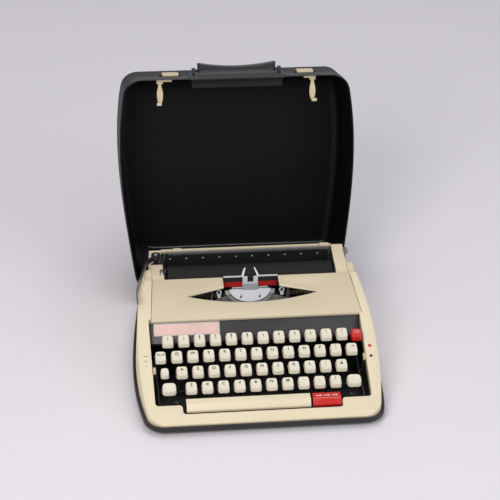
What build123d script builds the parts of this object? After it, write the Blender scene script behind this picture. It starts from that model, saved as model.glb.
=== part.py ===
"""Portable typewriter in an attached carrying case, lid standing open, carriage centred."""
from build123d import *
import math
import os

os.makedirs("parts", exist_ok=True)

# ---- Driving sizes, in millimetres. X to the typist's right, Y to the rear, Z up, table at Z = 0.

# case plan: half widths at five equal steps from the rear edge to the front edge
case_length = 274.0
case_half_widths = (129.5, 139.3, 146.6, 147.6, 138.5)
corner_radius = 24.0
rear_y = case_length / 2
front_y = -case_length / 2

foot_height = 2.5
tray_floor = 2.2
tray_wall = 2.4
rim_z = 12.7

lid_depth = 94.0
lid_wall = 1.8
lid_draft = 1.6
lid_end_radius = 40.0
lid_side_radius = 12.0
lid_gap = 0.4
hinge_y = rear_y + 4.0
hinge_z = rim_z + 2.0
lid_lean = 17.4
hinge_x = 84.0

# cream body: how far it stands in from the case, and its outline seen from the side
shell_inset = 3.4
shell_top_inset = 6.4
shell_wall = 2.4
band_crease = (-127.5, 18.5)
well_front_edge = (-109.0, 24.0)
deck_front = (-4.0, 72.0)
deck_rear = (59.0, 90.0)
side_low_z = 57.0

# keyboard
key_pitch = 19.05
row_step_y = 18.46
row_step_z = 9.7
number_row_y = -35.8
number_row_z = 66.5
row_starts = (-107.7, -98.4, -93.9, -84.4)
row_counts = (12, 11, 11, 10)
cap_width = 13.6
cap_depth = 15.2
cap_height = 5.0
cap_tilt = 15.0
lever_thickness = 1.6
lever_pivot_y = 108.0
lever_pivot_z = 24.0
pivot_rod_radius = 2.0
running_fit = 0.06

well_half = 128.2
notch_left = -96.6
notch_right = 92.4
notch_front_y = -121.8

# carriage
home_x = 3.0
platen_y = 74.5
platen_z = 80.0
platen_radius = 15.5
platen_half = 102.0
shaft_radius = 4.0
cover_inner = 106.5
cover_outer = 121.0
knob_radius = 12.5
knob_outer = 130.0

# type basket: a half ring tilted up to the rear, the typebars fanned out and down from it
type_x = 1.8
plate_top = (56.0, 73.5)
plate_low = (45.6, 61.4)
plate_radius = 25.4
plate_thickness_z = 1.4
pivot_radius_x = 28.0
pivot_radius_y = 18.4
pivot_depth = 3.2
typebar_count = 43
typebar_spread = 140.0


# ---- Shared shapes

def save(builder, label):
    """Name a finished piece and write its file."""
    builder.part.label = label
    export_step(builder.part, f"parts/{label}.step")


def case_plan(z, inset):
    """Plan outline of the case at height z, drawn in by inset."""
    usable = case_length - 2 * inset
    steps = len(case_half_widths) - 1
    right = [(half - inset, rear_y - inset - usable * i / steps) for i, half in enumerate(case_half_widths)]
    left = [(-x, y) for x, y in reversed(right)]
    with BuildSketch(Plane.XY.offset(z)) as plan:
        with BuildLine():
            Spline(*right)
            Line(right[-1], left[0])
            Spline(*left)
            Line(left[-1], right[0])
        make_face()
        fillet(plan.vertices(), corner_radius - inset)
    return plan.sketch


def case_block(z_low, inset_low, z_high, inset_high):
    """Solid between two plan outlines."""
    low = case_plan(z_low, inset_low)
    high = case_plan(z_high, inset_high)
    with BuildPart() as block:
        add(low)
        add(high)
        loft(ruled=True)
    return block.part


def side_prism(points, x_low, x_high):
    """Solid whose outline is drawn in the YZ plane."""
    with BuildPart() as block:
        with BuildSketch(Plane.YZ.offset(x_low)):
            with BuildLine():
                Polyline(*points, close=True)
            make_face()
        extrude(amount=x_high - x_low)
    return block.part


def plan_prism(points, z_low, z_high, radius=0.0, grow=0.0):
    """Solid whose outline is drawn in the XY plane, with rounded corners."""
    with BuildPart() as block:
        with BuildSketch(Plane.XY.offset(z_low)) as plan:
            with BuildLine():
                Polyline(*points, close=True)
            make_face()
            if radius:
                fillet(plan.vertices(), radius)
            if grow:
                offset(amount=grow)
        extrude(amount=z_high - z_low)
    return block.part


def box(x_low, x_high, y_low, y_high, z_low, z_high):
    """Box between two corners."""
    with BuildPart() as block:
        with Locations(((x_low + x_high) / 2, (y_low + y_high) / 2, (z_low + z_high) / 2)):
            Box(abs(x_high - x_low), abs(y_high - y_low), abs(z_high - z_low))
    return block.part


def rod(x_low, x_high, y, z, radius):
    """Round bar along X."""
    with BuildPart() as bar:
        with BuildSketch(Plane.YZ.offset(x_low)):
            with Locations((y, z)):
                Circle(radius)
        extrude(amount=x_high - x_low)
    return bar.part


def post(x, y, z_low, z_high, radius):
    """Round bar along Z."""
    with BuildPart() as bar:
        with BuildSketch(Plane.XY.offset(z_low)):
            with Locations((x, y)):
                Circle(radius)
        extrude(amount=z_high - z_low)
    return bar.part


def joined(*solids, cut=()):
    """One builder holding the solids, less the cutters."""
    with BuildPart() as piece:
        for solid in solids:
            add(solid)
        for cutter in cut:
            add(cutter, mode=Mode.SUBTRACT)
    return piece


# ---- Case tray and its feet

tray_outer_low = case_block(foot_height, 4.5, foot_height + 4.5, 0.0)
tray_outer_high = case_block(foot_height + 4.5, 0.0, rim_z, 0.0)
tray_floor_z = foot_height + tray_floor
tray_inner_low = case_block(tray_floor_z, 4.8, foot_height + 4.6, tray_wall)
tray_inner_high = case_block(foot_height + 4.6, tray_wall, rim_z + 1, tray_wall)
foot_x = 108.0
foot_y = 104.0
foot_radius = 9.0
recess_depth = 0.8
with BuildPart() as foot_recesses:
    with BuildSketch(Plane.XY.offset(foot_height)):
        with GridLocations(2 * foot_x, 2 * foot_y, 2, 2):
            Circle(foot_radius + 0.4)
    extrude(amount=recess_depth)
base_tray = joined(
    tray_outer_low, tray_outer_high, cut=(tray_inner_low, tray_inner_high, foot_recesses.part)
)
save(base_tray, "base_tray")

with BuildPart() as rubber_feet:
    with BuildSketch():
        with GridLocations(2 * foot_x, 2 * foot_y, 2, 2):
            Circle(foot_radius)
    extrude(amount=foot_height + recess_depth)
    chamfer(rubber_feet.edges().group_by(Axis.Z)[0], 0.8)
save(rubber_feet, "rubber_feet")

# ---- Cream body shell: front band, sloping side panels and low rear sides in one moulding

shell_bottom = 8.0


def shell_profile(drop):
    """Side outline of the body, its upper surface lowered by drop."""
    return (
        (front_y, shell_bottom - drop),
        (front_y, 13.4 - drop),
        (front_y + shell_inset, 13.4 - drop),
        (band_crease[0], band_crease[1] - drop),
        (well_front_edge[0], well_front_edge[1] - drop),
        (deck_front[0], deck_front[1] - drop),
        (deck_rear[0] - drop, deck_rear[1] - drop),
        (deck_rear[0] - drop, side_low_z - drop),
        (rear_y, side_low_z - drop),
        (rear_y, shell_bottom - drop),
    )


well_points = (
    (-well_half, 0.0),
    (-well_half, well_front_edge[0]),
    (notch_left, well_front_edge[0]),
    (notch_left, notch_front_y),
    (notch_right, notch_front_y),
    (notch_right, well_front_edge[0]),
    (well_half, well_front_edge[0]),
    (well_half, 0.0),
)
deck_x = 3.2
deck_half_front = 128.6
deck_half_rear = 122.0
deck_points = (
    (deck_x - deck_half_front, deck_front[0]),
    (deck_x - deck_half_rear, deck_rear[0] + 3),
    (deck_x + deck_half_rear, deck_rear[0] + 3),
    (deck_x + deck_half_front, deck_front[0]),
)
carriage_bay_half = 119.0
shell_top_z = 95.0
shell_outer_block = case_block(shell_bottom, shell_inset, shell_top_z, shell_top_inset)
shell_inner_block = case_block(
    shell_bottom - 3, shell_inset + shell_wall, shell_top_z, shell_top_inset + shell_wall
)
shell_outer_profile = side_prism(shell_profile(0.0), -160, 160)
shell_inner_profile = side_prism(shell_profile(shell_wall), -160, 160)
well_wall_profile = side_prism(shell_profile(11.0), -160, 160)
well_prism = plan_prism(well_points, 0, 100, radius=4.0)
well_wall_prism = plan_prism(well_points, 0, 100, radius=4.0, grow=2.0)
deck_prism = plan_prism(deck_points, 0, 100)
bay_prism = box(-carriage_bay_half, carriage_bay_half, deck_rear[0] - 5, rear_y - 11, 0, 100)

with BuildPart() as shell_hollow:
    add(shell_inner_block)
    add(shell_inner_profile, mode=Mode.INTERSECT)
with BuildPart() as well_wall:
    add(shell_outer_block)
    add(shell_outer_profile, mode=Mode.INTERSECT)
    add(well_wall_prism, mode=Mode.INTERSECT)
    add(well_wall_profile, mode=Mode.SUBTRACT)
shell_posts = [post(x, -118.0, tray_floor_z, 19.5, 4.0) for x in (-112.0, 112.0)]
shell_posts += [post(x, 128.5, tray_floor_z, side_low_z - 1, 2.4) for x in (-60.0, 60.0)]
with BuildPart() as body_shell:
    add(shell_outer_block)
    add(shell_outer_profile, mode=Mode.INTERSECT)
    add(shell_hollow.part, mode=Mode.SUBTRACT)
    add(well_wall.part)
    add(well_prism, mode=Mode.SUBTRACT)
    add(deck_prism, mode=Mode.SUBTRACT)
    add(bay_prism, mode=Mode.SUBTRACT)
    for shell_post in shell_posts:
        add(shell_post)
save(body_shell, "body_shell")

# ---- Ribbon cover: sloping deck plate with the almond-shaped opening, lifts straight up

cover_thickness = 2.0
lip_depth = 3.4
cover_slope = (deck_rear[1] - deck_front[1]) / (deck_rear[0] - deck_front[0])
cover_profile = (
    deck_front,
    deck_rear,
    (deck_rear[0], deck_rear[1] - cover_thickness),
    (deck_front[0] + 2, deck_front[1] + 2 * cover_slope - cover_thickness),
    (deck_front[0] + 2, deck_front[1] - lip_depth),
    (deck_front[0], deck_front[1] - lip_depth),
)
cover_plate = side_prism(cover_profile, -140, 140)
cover_gap = 0.4
cover_plan = plan_prism(
    (
        (deck_x - deck_half_front + cover_gap, deck_front[0]),
        (deck_x - deck_half_rear + cover_gap, deck_rear[0]),
        (deck_x + deck_half_rear - cover_gap, deck_rear[0]),
        (deck_x + deck_half_front - cover_gap, deck_front[0]),
    ),
    0,
    100,
)
opening_half = 80.6
opening_tip_y = 31.5
opening_low_y = 19.4
throat_y = 43.0
throat_left = -32.2
throat_right = 36.0
opening_x = 2.1
with BuildPart() as type_opening:
    with BuildSketch():
        with BuildLine():
            ThreePointArc(
                (opening_x - opening_half, opening_tip_y),
                (opening_x, opening_low_y),
                (opening_x + opening_half, opening_tip_y),
            )
            Polyline(
                (opening_x + opening_half, opening_tip_y),
                (throat_right, throat_y),
                (throat_right, deck_rear[0] + 5),
                (throat_left, deck_rear[0] + 5),
                (throat_left, throat_y),
                (opening_x - opening_half, opening_tip_y),
            )
        make_face()
    extrude(amount=100)
with BuildPart() as ribbon_cover:
    add(cover_plate)
    add(cover_plan, mode=Mode.INTERSECT)
    add(type_opening.part, mode=Mode.SUBTRACT)
save(ribbon_cover, "ribbon_cover")

# ---- Sloping panel behind the number row, and the bare badge plate on it

panel_half = 127.0
panel_top = (-3.2, 68.2)
panel_run = 17.5
panel_thickness = 1.6
skew = panel_thickness * math.sqrt(2)
panel_foot = (panel_top[0] - panel_run, panel_top[1] - panel_run)
key_panel = joined(
    side_prism(
        (panel_top, panel_foot, (panel_foot[0], panel_foot[1] - skew), (panel_top[0], panel_top[1] - skew)),
        -panel_half,
        panel_half,
    )
)
save(key_panel, "key_panel")

badge_left = -122.6
badge_right = -42.6
badge_thickness = 0.9
badge_skew = badge_thickness * math.sqrt(2)
badge_plate = joined(
    side_prism(
        (
            (panel_top[0] - 1.0, panel_top[1] - 1.0),
            (panel_top[0] - 12.0, panel_top[1] - 12.0),
            (panel_top[0] - 12.0, panel_top[1] - 12.0 + badge_skew),
            (panel_top[0] - 1.0, panel_top[1] - 1.0 + badge_skew),
        ),
        badge_left,
        badge_right,
    )
)
save(badge_plate, "badge_plate")

# ---- Inner frame: side plates, cross beams, the lever pivot rod

bar_pivot_y = -62.0
bar_pivot_z = 8.4
bar_pivot_radius = 1.5
colour_y = -60.0
touch_y = -66.0
band_slope = (deck_front[1] - well_front_edge[1]) / (deck_front[0] - well_front_edge[0])


def band_z(y):
    """Height of the side panels' upper surface."""
    return well_front_edge[1] + (y - well_front_edge[0]) * band_slope


def setting_pivot_z(y):
    """Height of a setting lever's pivot below the side panel."""
    return band_z(y) - 19.0


plate_x = 121.0
plate_thickness = 2.0
frame_side_points = (
    (-106.0, tray_floor_z),
    (114.0, tray_floor_z),
    (114.0, 44.0),
    (10.0, 44.0),
    (-20.0, 30.0),
    (-106.0, 12.0),
)
beam_z_low = 34.0
beam_z_high = 40.0
main_frame = joined(
    side_prism(frame_side_points, plate_x, plate_x + plate_thickness),
    side_prism(frame_side_points, -plate_x - plate_thickness, -plate_x),
    box(-plate_x, plate_x, 66, 74, beam_z_low, beam_z_high),
    box(-plate_x, plate_x, 111.0, 114.0, 32.0, 44.0),
    rod(-plate_x - 1, plate_x + 1, lever_pivot_y, lever_pivot_z, pivot_rod_radius),
    rod(-plate_x - 1, plate_x + 1, bar_pivot_y, bar_pivot_z, bar_pivot_radius),
    rod(plate_x + plate_thickness - 0.5, 126.4, colour_y, setting_pivot_z(colour_y), 1.0),
    rod(-126.4, -plate_x - plate_thickness + 0.5, touch_y, setting_pivot_z(touch_y), 1.0),
)
save(main_frame, "main_frame")

# ---- Fixed carriage rail, the ball race on it

rail_y_low = 94.0
rail_y_high = 110.0
rib_z = 57.3
race_y = (rail_y_low + rail_y_high) / 2
race_z = 59.75
ball_radius = 2.6
groove_radius = ball_radius + 0.4
carriage_rail = joined(
    box(-plate_x - plate_thickness, plate_x + plate_thickness, rail_y_low, rail_y_high, 44.0, 50.0),
    box(-116, 116, rail_y_low + 3, rail_y_high - 3, 50.0, rib_z),
    cut=(rod(-117, 117, race_y, race_z, groove_radius),),
)
save(carriage_rail, "carriage_rail")

race_half = 56.0
ball_places = [(home_x + race_half * share, race_y, race_z) for share in (-0.9, -0.3, 0.3, 0.9)]
with BuildPart() as ball_race:
    with Locations((home_x, race_y, race_z)):
        Box(2 * race_half, rail_y_high - rail_y_low - 8, 2.4)
    with Locations(*ball_places):
        Sphere(ball_radius)
save(ball_race, "ball_race")

# ---- Type segment with its slots, front plate and type guide

plate_tilt = math.degrees(math.atan2(plate_top[1] - plate_low[1], plate_top[0] - plate_low[0]))
plate_run = math.hypot(plate_top[1] - plate_low[1], plate_top[0] - plate_low[0])
basket_place = Pos(type_x, plate_top[0], plate_top[1]) * Rot(plate_tilt, 0, 0)
basket_plane = Plane(basket_place)
segment_depth = 9.6
slot_depth = 8.6
slot_width = 0.9


def basket_angle(i):
    """Direction of typebar i in the basket's plane, from straight down."""
    return -typebar_spread / 2 + typebar_spread * i / (typebar_count - 1)


def bar_place(i, depth):
    """Place of typebar i's pivot in the basket's plane, its local -Y pointing outward."""
    angle = math.radians(basket_angle(i))
    x = pivot_radius_x * math.sin(angle)
    y = -pivot_radius_y * math.cos(angle)
    return basket_place * Pos(x, y, -depth) * Rot(0, 0, basket_angle(i))


middle_bar = typebar_count // 2
leg_near = 22.0
leg_far = 29.0
leg_y_low = 58.2
leg_top_z = 66.5
leg_foot_y = 72.0
carriage_front_y = 61.0
slot_length = 20.0
with BuildPart() as slot_cut:
    with Locations((0, 0, (slot_depth - plate_thickness_z) / 2)):
        Box(slot_width, slot_length, slot_depth - plate_thickness_z + 0.2)
with BuildPart() as type_segment:
    with BuildSketch(basket_plane.offset(-segment_depth)):
        Ellipse(pivot_radius_x + 3.0, pivot_radius_y + 3.1)
        Ellipse(pivot_radius_x - 8.0, pivot_radius_y - 6.2, mode=Mode.SUBTRACT)
        with Locations((0, 25)):
            Rectangle(90, 52, mode=Mode.SUBTRACT)
    extrude(amount=segment_depth - plate_thickness_z)
    for i in range(typebar_count):
        add(bar_place(i, slot_depth) * slot_cut.part, mode=Mode.SUBTRACT)
    for side in (-1, 1):
        near = type_x + side * leg_near
        far = type_x + side * leg_far
        add(box(near, far, leg_y_low, carriage_front_y, beam_z_high, leg_top_z))
        add(box(near, far, leg_y_low, leg_foot_y, beam_z_high, beam_z_high + 3))
    add(box(-60, 60, carriage_front_y, 80, 62.0, 90), mode=Mode.SUBTRACT)
save(type_segment, "type_segment")

guide_y_low = 54.9
guide_y_high = 56.0
neck_half = 9.85
neck_top = 81.5
with BuildPart() as segment_plate:
    with BuildSketch(basket_plane):
        Ellipse(plate_radius, plate_run)
        with Locations((0, plate_run)):
            Rectangle(3 * plate_radius, 2 * plate_run, mode=Mode.SUBTRACT)
        with Locations((-11.6, -10), (11.6, -10)):
            Circle(1.3, mode=Mode.SUBTRACT)
    extrude(amount=-plate_thickness_z)
    add(box(type_x - neck_half, type_x + neck_half, guide_y_low, guide_y_high, plate_top[1] - 1.5, neck_top))
save(segment_plate, "segment_plate")

# upright guide plate on the neck, with the notch that the type slug enters
guide_half = 8.9
notch_half = 3.7
notch_z = 83.5
guide_top = 91.9
with BuildPart() as type_guide:
    with BuildSketch(Plane.XZ.offset(-guide_y_high)) as guide_outline:
        with Locations((type_x, (neck_top + guide_top) / 2)):
            Rectangle(2 * guide_half, guide_top - neck_top)
        with Locations((type_x, (notch_z + guide_top + 1) / 2)):
            Rectangle(2 * notch_half, guide_top + 1 - notch_z, mode=Mode.SUBTRACT)
        fillet(guide_outline.vertices(), 0.8)
    extrude(amount=guide_y_high - guide_y_low)
save(type_guide, "type_guide")

# ---- Typebars: the fan at rest, and the middle one that swings to the platen

bar_sheet = 0.6
hub_radius = 1.6
knee = (3.1, 4.0)
bar_end = (28.65, 1.2)
slug_place = (29.86, 0.0)
slug_turn = 17.0
slug_height = 3.4
slug_depth = 4.4
slug_width = 2.2


def typebar():
    """One typebar pointing along -Y, pivot at the origin, bent down to a knee, slug at the tip."""
    with BuildPart() as bar:
        with BuildSketch(Plane.YZ):
            with BuildLine():
                Polyline((0, 0), (-knee[0], -knee[1]), (-bar_end[0], -bar_end[1]))
            trace(line_width=1.8)
            Circle(hub_radius)
            Circle(0.7, mode=Mode.SUBTRACT)
        extrude(amount=bar_sheet / 2, both=True)
        with BuildSketch(Plane.YZ):
            with Locations((-slug_place[0], slug_place[1])):
                Rectangle(slug_height, slug_depth, rotation=slug_turn)
        extrude(amount=slug_width / 2, both=True)
    return bar.part


one_bar = typebar()


def resting_bar(i):
    """Typebar i laid down in its slot."""
    return bar_place(i, pivot_depth) * one_bar


typebars = joined(*[resting_bar(i) for i in range(typebar_count) if i != middle_bar])
save(typebars, "typebars")
typebar_centre = joined(resting_bar(middle_bar))
save(typebar_centre, "typebar_centre")

# ---- Ribbon: lifting holder, the two-colour strip, spools and guide posts

ribbon_left = throat_left + 0.6
ribbon_right = throat_right - 0.6
holder_y_low = 56.3
holder_y_high = 57.1
strip_low = 90.6
strip_high = 92.4
foot_low = 74.3
foot_high = 75.6
ribbon_z_low = 75.8
ribbon_z_high = 88.8
upright_out = 9.6
with BuildPart() as finger:
    with BuildSketch(Plane.XZ.offset(-holder_y_high)) as outline:
        with BuildLine():
            Polyline((-11.4, strip_low), (-9.0, strip_low), (-4.4, 99.4), (-5.6, 99.4), close=True)
        make_face()
    extrude(amount=-9.0)
finger_band = side_prism(((56.3, 91.5), (57.1, 90.0), (66.2, 96.6), (65.6, 98.2)), -20, 20)
with BuildPart() as left_finger:
    add(finger.part)
    add(finger_band, mode=Mode.INTERSECT)
left_prong = Pos(type_x, 0, 0) * left_finger.part
right_prong = Pos(type_x, 0, 0) * left_finger.part.mirror(Plane.YZ)


def holder_strip(x_low, x_high, z_low, z_high):
    """Flat strip in the plane of the ribbon holder."""
    return box(x_low, x_high, holder_y_low, holder_y_high, z_low, z_high)


ribbon_holder = joined(
    holder_strip(ribbon_left, type_x - 8.0, strip_low, strip_high),
    holder_strip(type_x + 8.0, ribbon_right, strip_low, strip_high),
    holder_strip(type_x - upright_out, type_x - 8.0, foot_low, strip_high),
    holder_strip(type_x + 8.0, type_x + upright_out, foot_low, strip_high),
    holder_strip(type_x - 22.0, type_x + 22.0, foot_low, foot_high),
    left_prong,
    right_prong,
)
save(ribbon_holder, "ribbon_holder")

ribbon = joined(box(ribbon_left, ribbon_right, 57.95, 58.2, ribbon_z_low, ribbon_z_high))
save(ribbon, "ribbon")

spool_x = 98.0
spool_y = 24.0
spool_z_low = 57.0
spool_z_high = 70.0


def ribbon_spool(x):
    """Spool with flanges, the wound ribbon between them and a bore for its post."""
    with BuildPart() as spool:
        add(post(x, spool_y, spool_z_low, spool_z_low + 1.0, 19.0))
        add(post(x, spool_y, spool_z_low + 1.0, spool_z_high - 1.0, 15.5))
        add(post(x, spool_y, spool_z_high - 1.0, spool_z_high, 19.0))
        add(post(x, spool_y, spool_z_low - 1, spool_z_high + 1, 2.5 + running_fit), mode=Mode.SUBTRACT)
    return spool


ribbon_spool_left = ribbon_spool(-spool_x)
save(ribbon_spool_left, "ribbon_spool_left")
ribbon_spool_right = ribbon_spool(spool_x)
save(ribbon_spool_right, "ribbon_spool_right")

guide_xs = (-45.5, 49.0)
guide_post_y = 53.6
ribbon_posts = joined(
    post(-spool_x, spool_y, 51.0, spool_z_high + 1.0, 2.5),
    post(spool_x, spool_y, 51.0, spool_z_high + 1.0, 2.5),
    box(-plate_x, -80, 10, 38, 49.5, 51.5),
    box(80, plate_x, 10, 38, 49.5, 51.5),
    box(-plate_x, -plate_x + 2, 10, 38, 40.0, 51.5),
    box(plate_x - 2, plate_x, 10, 38, 40.0, 51.5),
    *[post(x, guide_post_y, beam_z_high, 78.0, 1.4) for x in guide_xs],
    *[box(x - 4, x + 4, guide_post_y - 1.5, guide_post_y + 1.5, 74.5, 77.0) for x in guide_xs],
    *[box(x - 5, x + 5, guide_post_y - 2.0, 70.0, beam_z_high, beam_z_high + 2) for x in guide_xs],
)
save(ribbon_posts, "ribbon_posts")

# ---- Keys: one cap shape, repeated along four rows, on levers that share the rear pivot rod


def key_cap(width, depth):
    """Dished cap, its top centre at the origin, on a short square foot."""
    with BuildPart() as cap:
        with BuildSketch(Plane.XY.offset(-cap_height)):
            RectangleRounded(width, depth, 3.2)
        with BuildSketch():
            RectangleRounded(width - 1.6, depth - 1.6, 2.8)
        loft(ruled=True)
        with Locations(Location((0, 0, 32.3), (90, 0, 0))):
            Cylinder(33.0, depth * 2, mode=Mode.SUBTRACT)
    return cap.part


foot_drop = 9.5


def placed_cap(x, y, z, width=cap_width, depth=cap_depth):
    """Cap tilted to the typist, with its foot reaching down to the lever."""
    tilted_cap = Pos(x, y, z) * Rot(cap_tilt, 0, 0) * key_cap(width, depth)
    foot = box(x - 2.0, x + 2.0, y - 2.4, y + 2.4, z - foot_drop, z - cap_height + 1.0)
    return joined(tilted_cap, foot).part


def lever(x, y, z_top):
    """Flat lever from the rear pivot rod to the front, turned up under the cap."""
    with BuildPart() as bar:
        with BuildSketch(Plane.YZ.offset(x - lever_thickness / 2)):
            with BuildLine():
                Polyline(
                    (lever_pivot_y, lever_pivot_z - 2.2),
                    (y - 2.2, lever_pivot_z - 2.2),
                    (y - 2.2, z_top),
                    (y + 2.2, z_top),
                    (y + 2.2, lever_pivot_z + 2.2),
                    (lever_pivot_y, lever_pivot_z + 2.2),
                    close=True,
                )
            make_face()
            with Locations((lever_pivot_y, lever_pivot_z)):
                Circle(4.4)
                Circle(pivot_rod_radius + running_fit, mode=Mode.SUBTRACT)
        extrude(amount=lever_thickness)
    return bar.part


row_names = ("number", "upper", "home", "lower")
centre_key = 5
centre_row = 2
for row, name in enumerate(row_names):
    y = number_row_y - row_step_y * row
    z = number_row_z - row_step_z * row
    places = [row_starts[row] + key_pitch * i for i in range(row_counts[row])]
    if row == centre_row:
        centre_x = places.pop(centre_key)
    caps = [placed_cap(x, y, z) for x in places]
    levers = [lever(x, y, z - foot_drop) for x in places]
    cap_row = joined(*caps)
    save(cap_row, f"{name}_row_caps")
    lever_row = joined(*levers)
    save(lever_row, f"{name}_row_levers")

home_y = number_row_y - row_step_y * centre_row
home_z = number_row_z - row_step_z * centre_row
key_centre = joined(placed_cap(centre_x, home_y, home_z), lever(centre_x, home_y, home_z - foot_drop))
save(key_centre, "key_centre")


def single_key(x, y, z, width, depth, lever_x):
    """Cap and lever in one piece; the lever stands to one side where a neighbour needs the room."""
    foot_z = z - foot_drop
    foot = box(min(x, lever_x) - 1.0, max(x, lever_x) + 1.0, y - 2.2, y + 2.2, foot_z - 2, foot_z)
    return joined(placed_cap(x, y, z, width, depth), foot, lever(lever_x, y, foot_z - 0.5))


upper_y = number_row_y - row_step_y
upper_z = number_row_z - row_step_z
lower_y = number_row_y - row_step_y * 3
lower_z = number_row_z - row_step_z * 3
tab_key = single_key(119.2, number_row_y - 1.4, number_row_z - 1, 13.0, 14.6, 119.8)
save(tab_key, "tab_key")
margin_release_key = single_key(-117.6, upper_y, upper_z, 12.8, 15.2, -119.6)
save(margin_release_key, "margin_release_key")
backspace_key = single_key(111.3, upper_y, upper_z, 13.6, 15.2, 114.2)
save(backspace_key, "backspace_key")
shift_lock_key = single_key(-114.2, home_y, home_z, 10.0, 12.5, -116.2)
save(shift_lock_key, "shift_lock_key")

shift_left_x = -110.4
shift_right_x = 109.2
shift_left = single_key(shift_left_x, lower_y, lower_z, 16.8, 15.2, -112.6)
shift_right = single_key(shift_right_x, lower_y, lower_z, 17.2, 15.2, 110.6)
shift_keys = joined(
    shift_left.part,
    shift_right.part,
    box(-113.4, 111.4, lever_pivot_y - 3, lever_pivot_y + 3, lever_pivot_z - 10.5, lever_pivot_z - 7.5),
    box(-113.4, -111.8, lever_pivot_y - 3, lever_pivot_y + 3, lever_pivot_z - 9, lever_pivot_z - 3),
    box(109.8, 111.4, lever_pivot_y - 3, lever_pivot_y + 3, lever_pivot_z - 9, lever_pivot_z - 3),
)
save(shift_keys, "shift_keys")

# ---- Space bar and the repeat spacer beside it, each on its own low arms

bar_rear = (-102.0, 27.4)
bar_crease = (-111.3, 26.3)
bar_front = (-116.5, 20.2)
bar_low_z = 17.6
arm_thickness = 1.6
arm_left_x = row_starts[0] + 16.4 + key_pitch
arm_right_x = arm_left_x + 6 * key_pitch
repeat_arm_x = arm_left_x + 8 * key_pitch


def bar_cap(x_low, x_high):
    """Wide key with a crease along it, hollow underneath."""
    skin = 1.6
    top = (bar_rear, bar_crease, bar_front)
    under = tuple((y, z - skin) for y, z in reversed(top))
    inner_y = bar_front[0] + skin
    skirt = ((bar_front[0], bar_low_z), (inner_y, bar_low_z), (inner_y, bar_front[1] - skin))
    return side_prism(top + skirt + under[1:], x_low, x_high)


def bar_arm(x):
    """Arm from under the cap back to the low pivot."""
    with BuildPart() as arm:
        with BuildSketch(Plane.YZ.offset(x - arm_thickness / 2)):
            with BuildLine():
                Polyline(
                    (bar_pivot_y, bar_pivot_z - 2),
                    (-108.0, bar_pivot_z + 2.6),
                    (-110.0, bar_pivot_z + 4),
                    (-110.0, 25.3),
                    (-105.0, 26.0),
                    (-105.0, bar_pivot_z + 7),
                    (bar_pivot_y, bar_pivot_z + 2),
                    close=True,
                )
            make_face()
            with Locations((bar_pivot_y, bar_pivot_z)):
                Circle(3.0)
                Circle(bar_pivot_radius + running_fit, mode=Mode.SUBTRACT)
        extrude(amount=arm_thickness)
    return arm.part


space_bar = joined(bar_cap(-92.0, 54.6), bar_arm(arm_left_x), bar_arm(arm_right_x))
save(space_bar, "space_bar")
repeat_key = joined(bar_cap(57.2, 91.0), bar_arm(repeat_arm_x))
save(repeat_key, "repeat_key")

# ---- Two small setting levers at the well's edges

def setting_lever(x_low, x_high, y):
    """Tab standing just above the side panel, its stem hanging on a pin of the frame's side plate."""
    top = band_z(y)
    pivot = setting_pivot_z(y)
    stem_low = x_low if x_low > 0 else x_high - 1.5
    return joined(
        box(x_low, x_high, y - 3.5, y + 3.5, top - 3.0, top + 3.0),
        box(stem_low, stem_low + 1.5, y - 2.0, y + 2.0, pivot, top - 2.5),
        rod(stem_low, stem_low + 1.5, y, pivot, 2.6),
        cut=(rod(stem_low - 1, stem_low + 3, y, pivot, 1.0 + running_fit),),
    )


colour_lever = setting_lever(124.4, 127.4, colour_y)
save(colour_lever, "colour_lever")
touch_lever = setting_lever(-127.4, -124.4, touch_y)
save(touch_lever, "touch_lever")

# ---- Carriage: frame, covers, platen with knobs, ratchet, feed rollers

roller_y = 93.2
roller_z = 71.2
roller_gap = 0.3
roller_shaft = 1.6
bail_y = 101.4
bail_z = 101.0
bail_radius = 1.2
bail_pivot_y = 106.0
bail_pivot_z = 78.0
bail_half = 104.0
side_plate_low = 104.6
side_plate_high = 106.2
side_points = ((62.0, 62.5), (62.0, 84.0), (70.0, 92.0), (116.0, 92.0), (119.0, 84.0), (119.0, 62.5))
carriage_frame = joined(
    side_prism(side_points, home_x + side_plate_low, home_x + side_plate_high),
    side_prism(side_points, home_x - side_plate_high, home_x - side_plate_low),
    box(home_x - side_plate_low, home_x + side_plate_low, 92.5, 112.0, 62.2, 65.2),
    rod(home_x + bail_half - 1.8, home_x + side_plate_low + 0.4, bail_pivot_y, bail_pivot_z, 1.4),
    rod(home_x - side_plate_low - 0.4, home_x - bail_half + 1.8, bail_pivot_y, bail_pivot_z, 1.4),
    cut=(
        rod(-120, 120, platen_y, platen_z, shaft_radius + running_fit),
        rod(-120, 120, roller_y, roller_z, roller_shaft + running_fit),
        rod(-120, 120, race_y, race_z, groove_radius),
    ),
)
save(carriage_frame, "carriage_frame")

right_cover_points = (
    (61.5, 63.0),
    (61.5, 86.0),
    (66.0, 90.5),
    (92.0, 95.5),
    (110.0, 99.0),
    (115.5, 95.0),
    (120.5, 86.0),
    (120.5, 63.0),
)
shaft_hole = rod(-140, 140, platen_y, platen_z, 6.0)
with BuildPart() as right_cover_hollow:
    with BuildSketch(Plane.YZ.offset(home_x + cover_inner - 1)) as hollow:
        with BuildLine():
            Polyline(*right_cover_points, close=True)
        make_face()
        offset(amount=-2.0)
    extrude(amount=cover_outer - cover_inner - 1.0)
release_y = 98.0
release_z = 80.0
release_pin_radius = 1.4
carriage_end_right = joined(
    side_prism(right_cover_points, home_x + cover_inner, home_x + cover_outer),
    rod(home_x + cover_outer - 1, home_x + cover_outer + 2.3, release_y, release_z, release_pin_radius),
    cut=(right_cover_hollow.part, shaft_hole),
)
save(carriage_end_right, "carriage_end_right")

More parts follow.
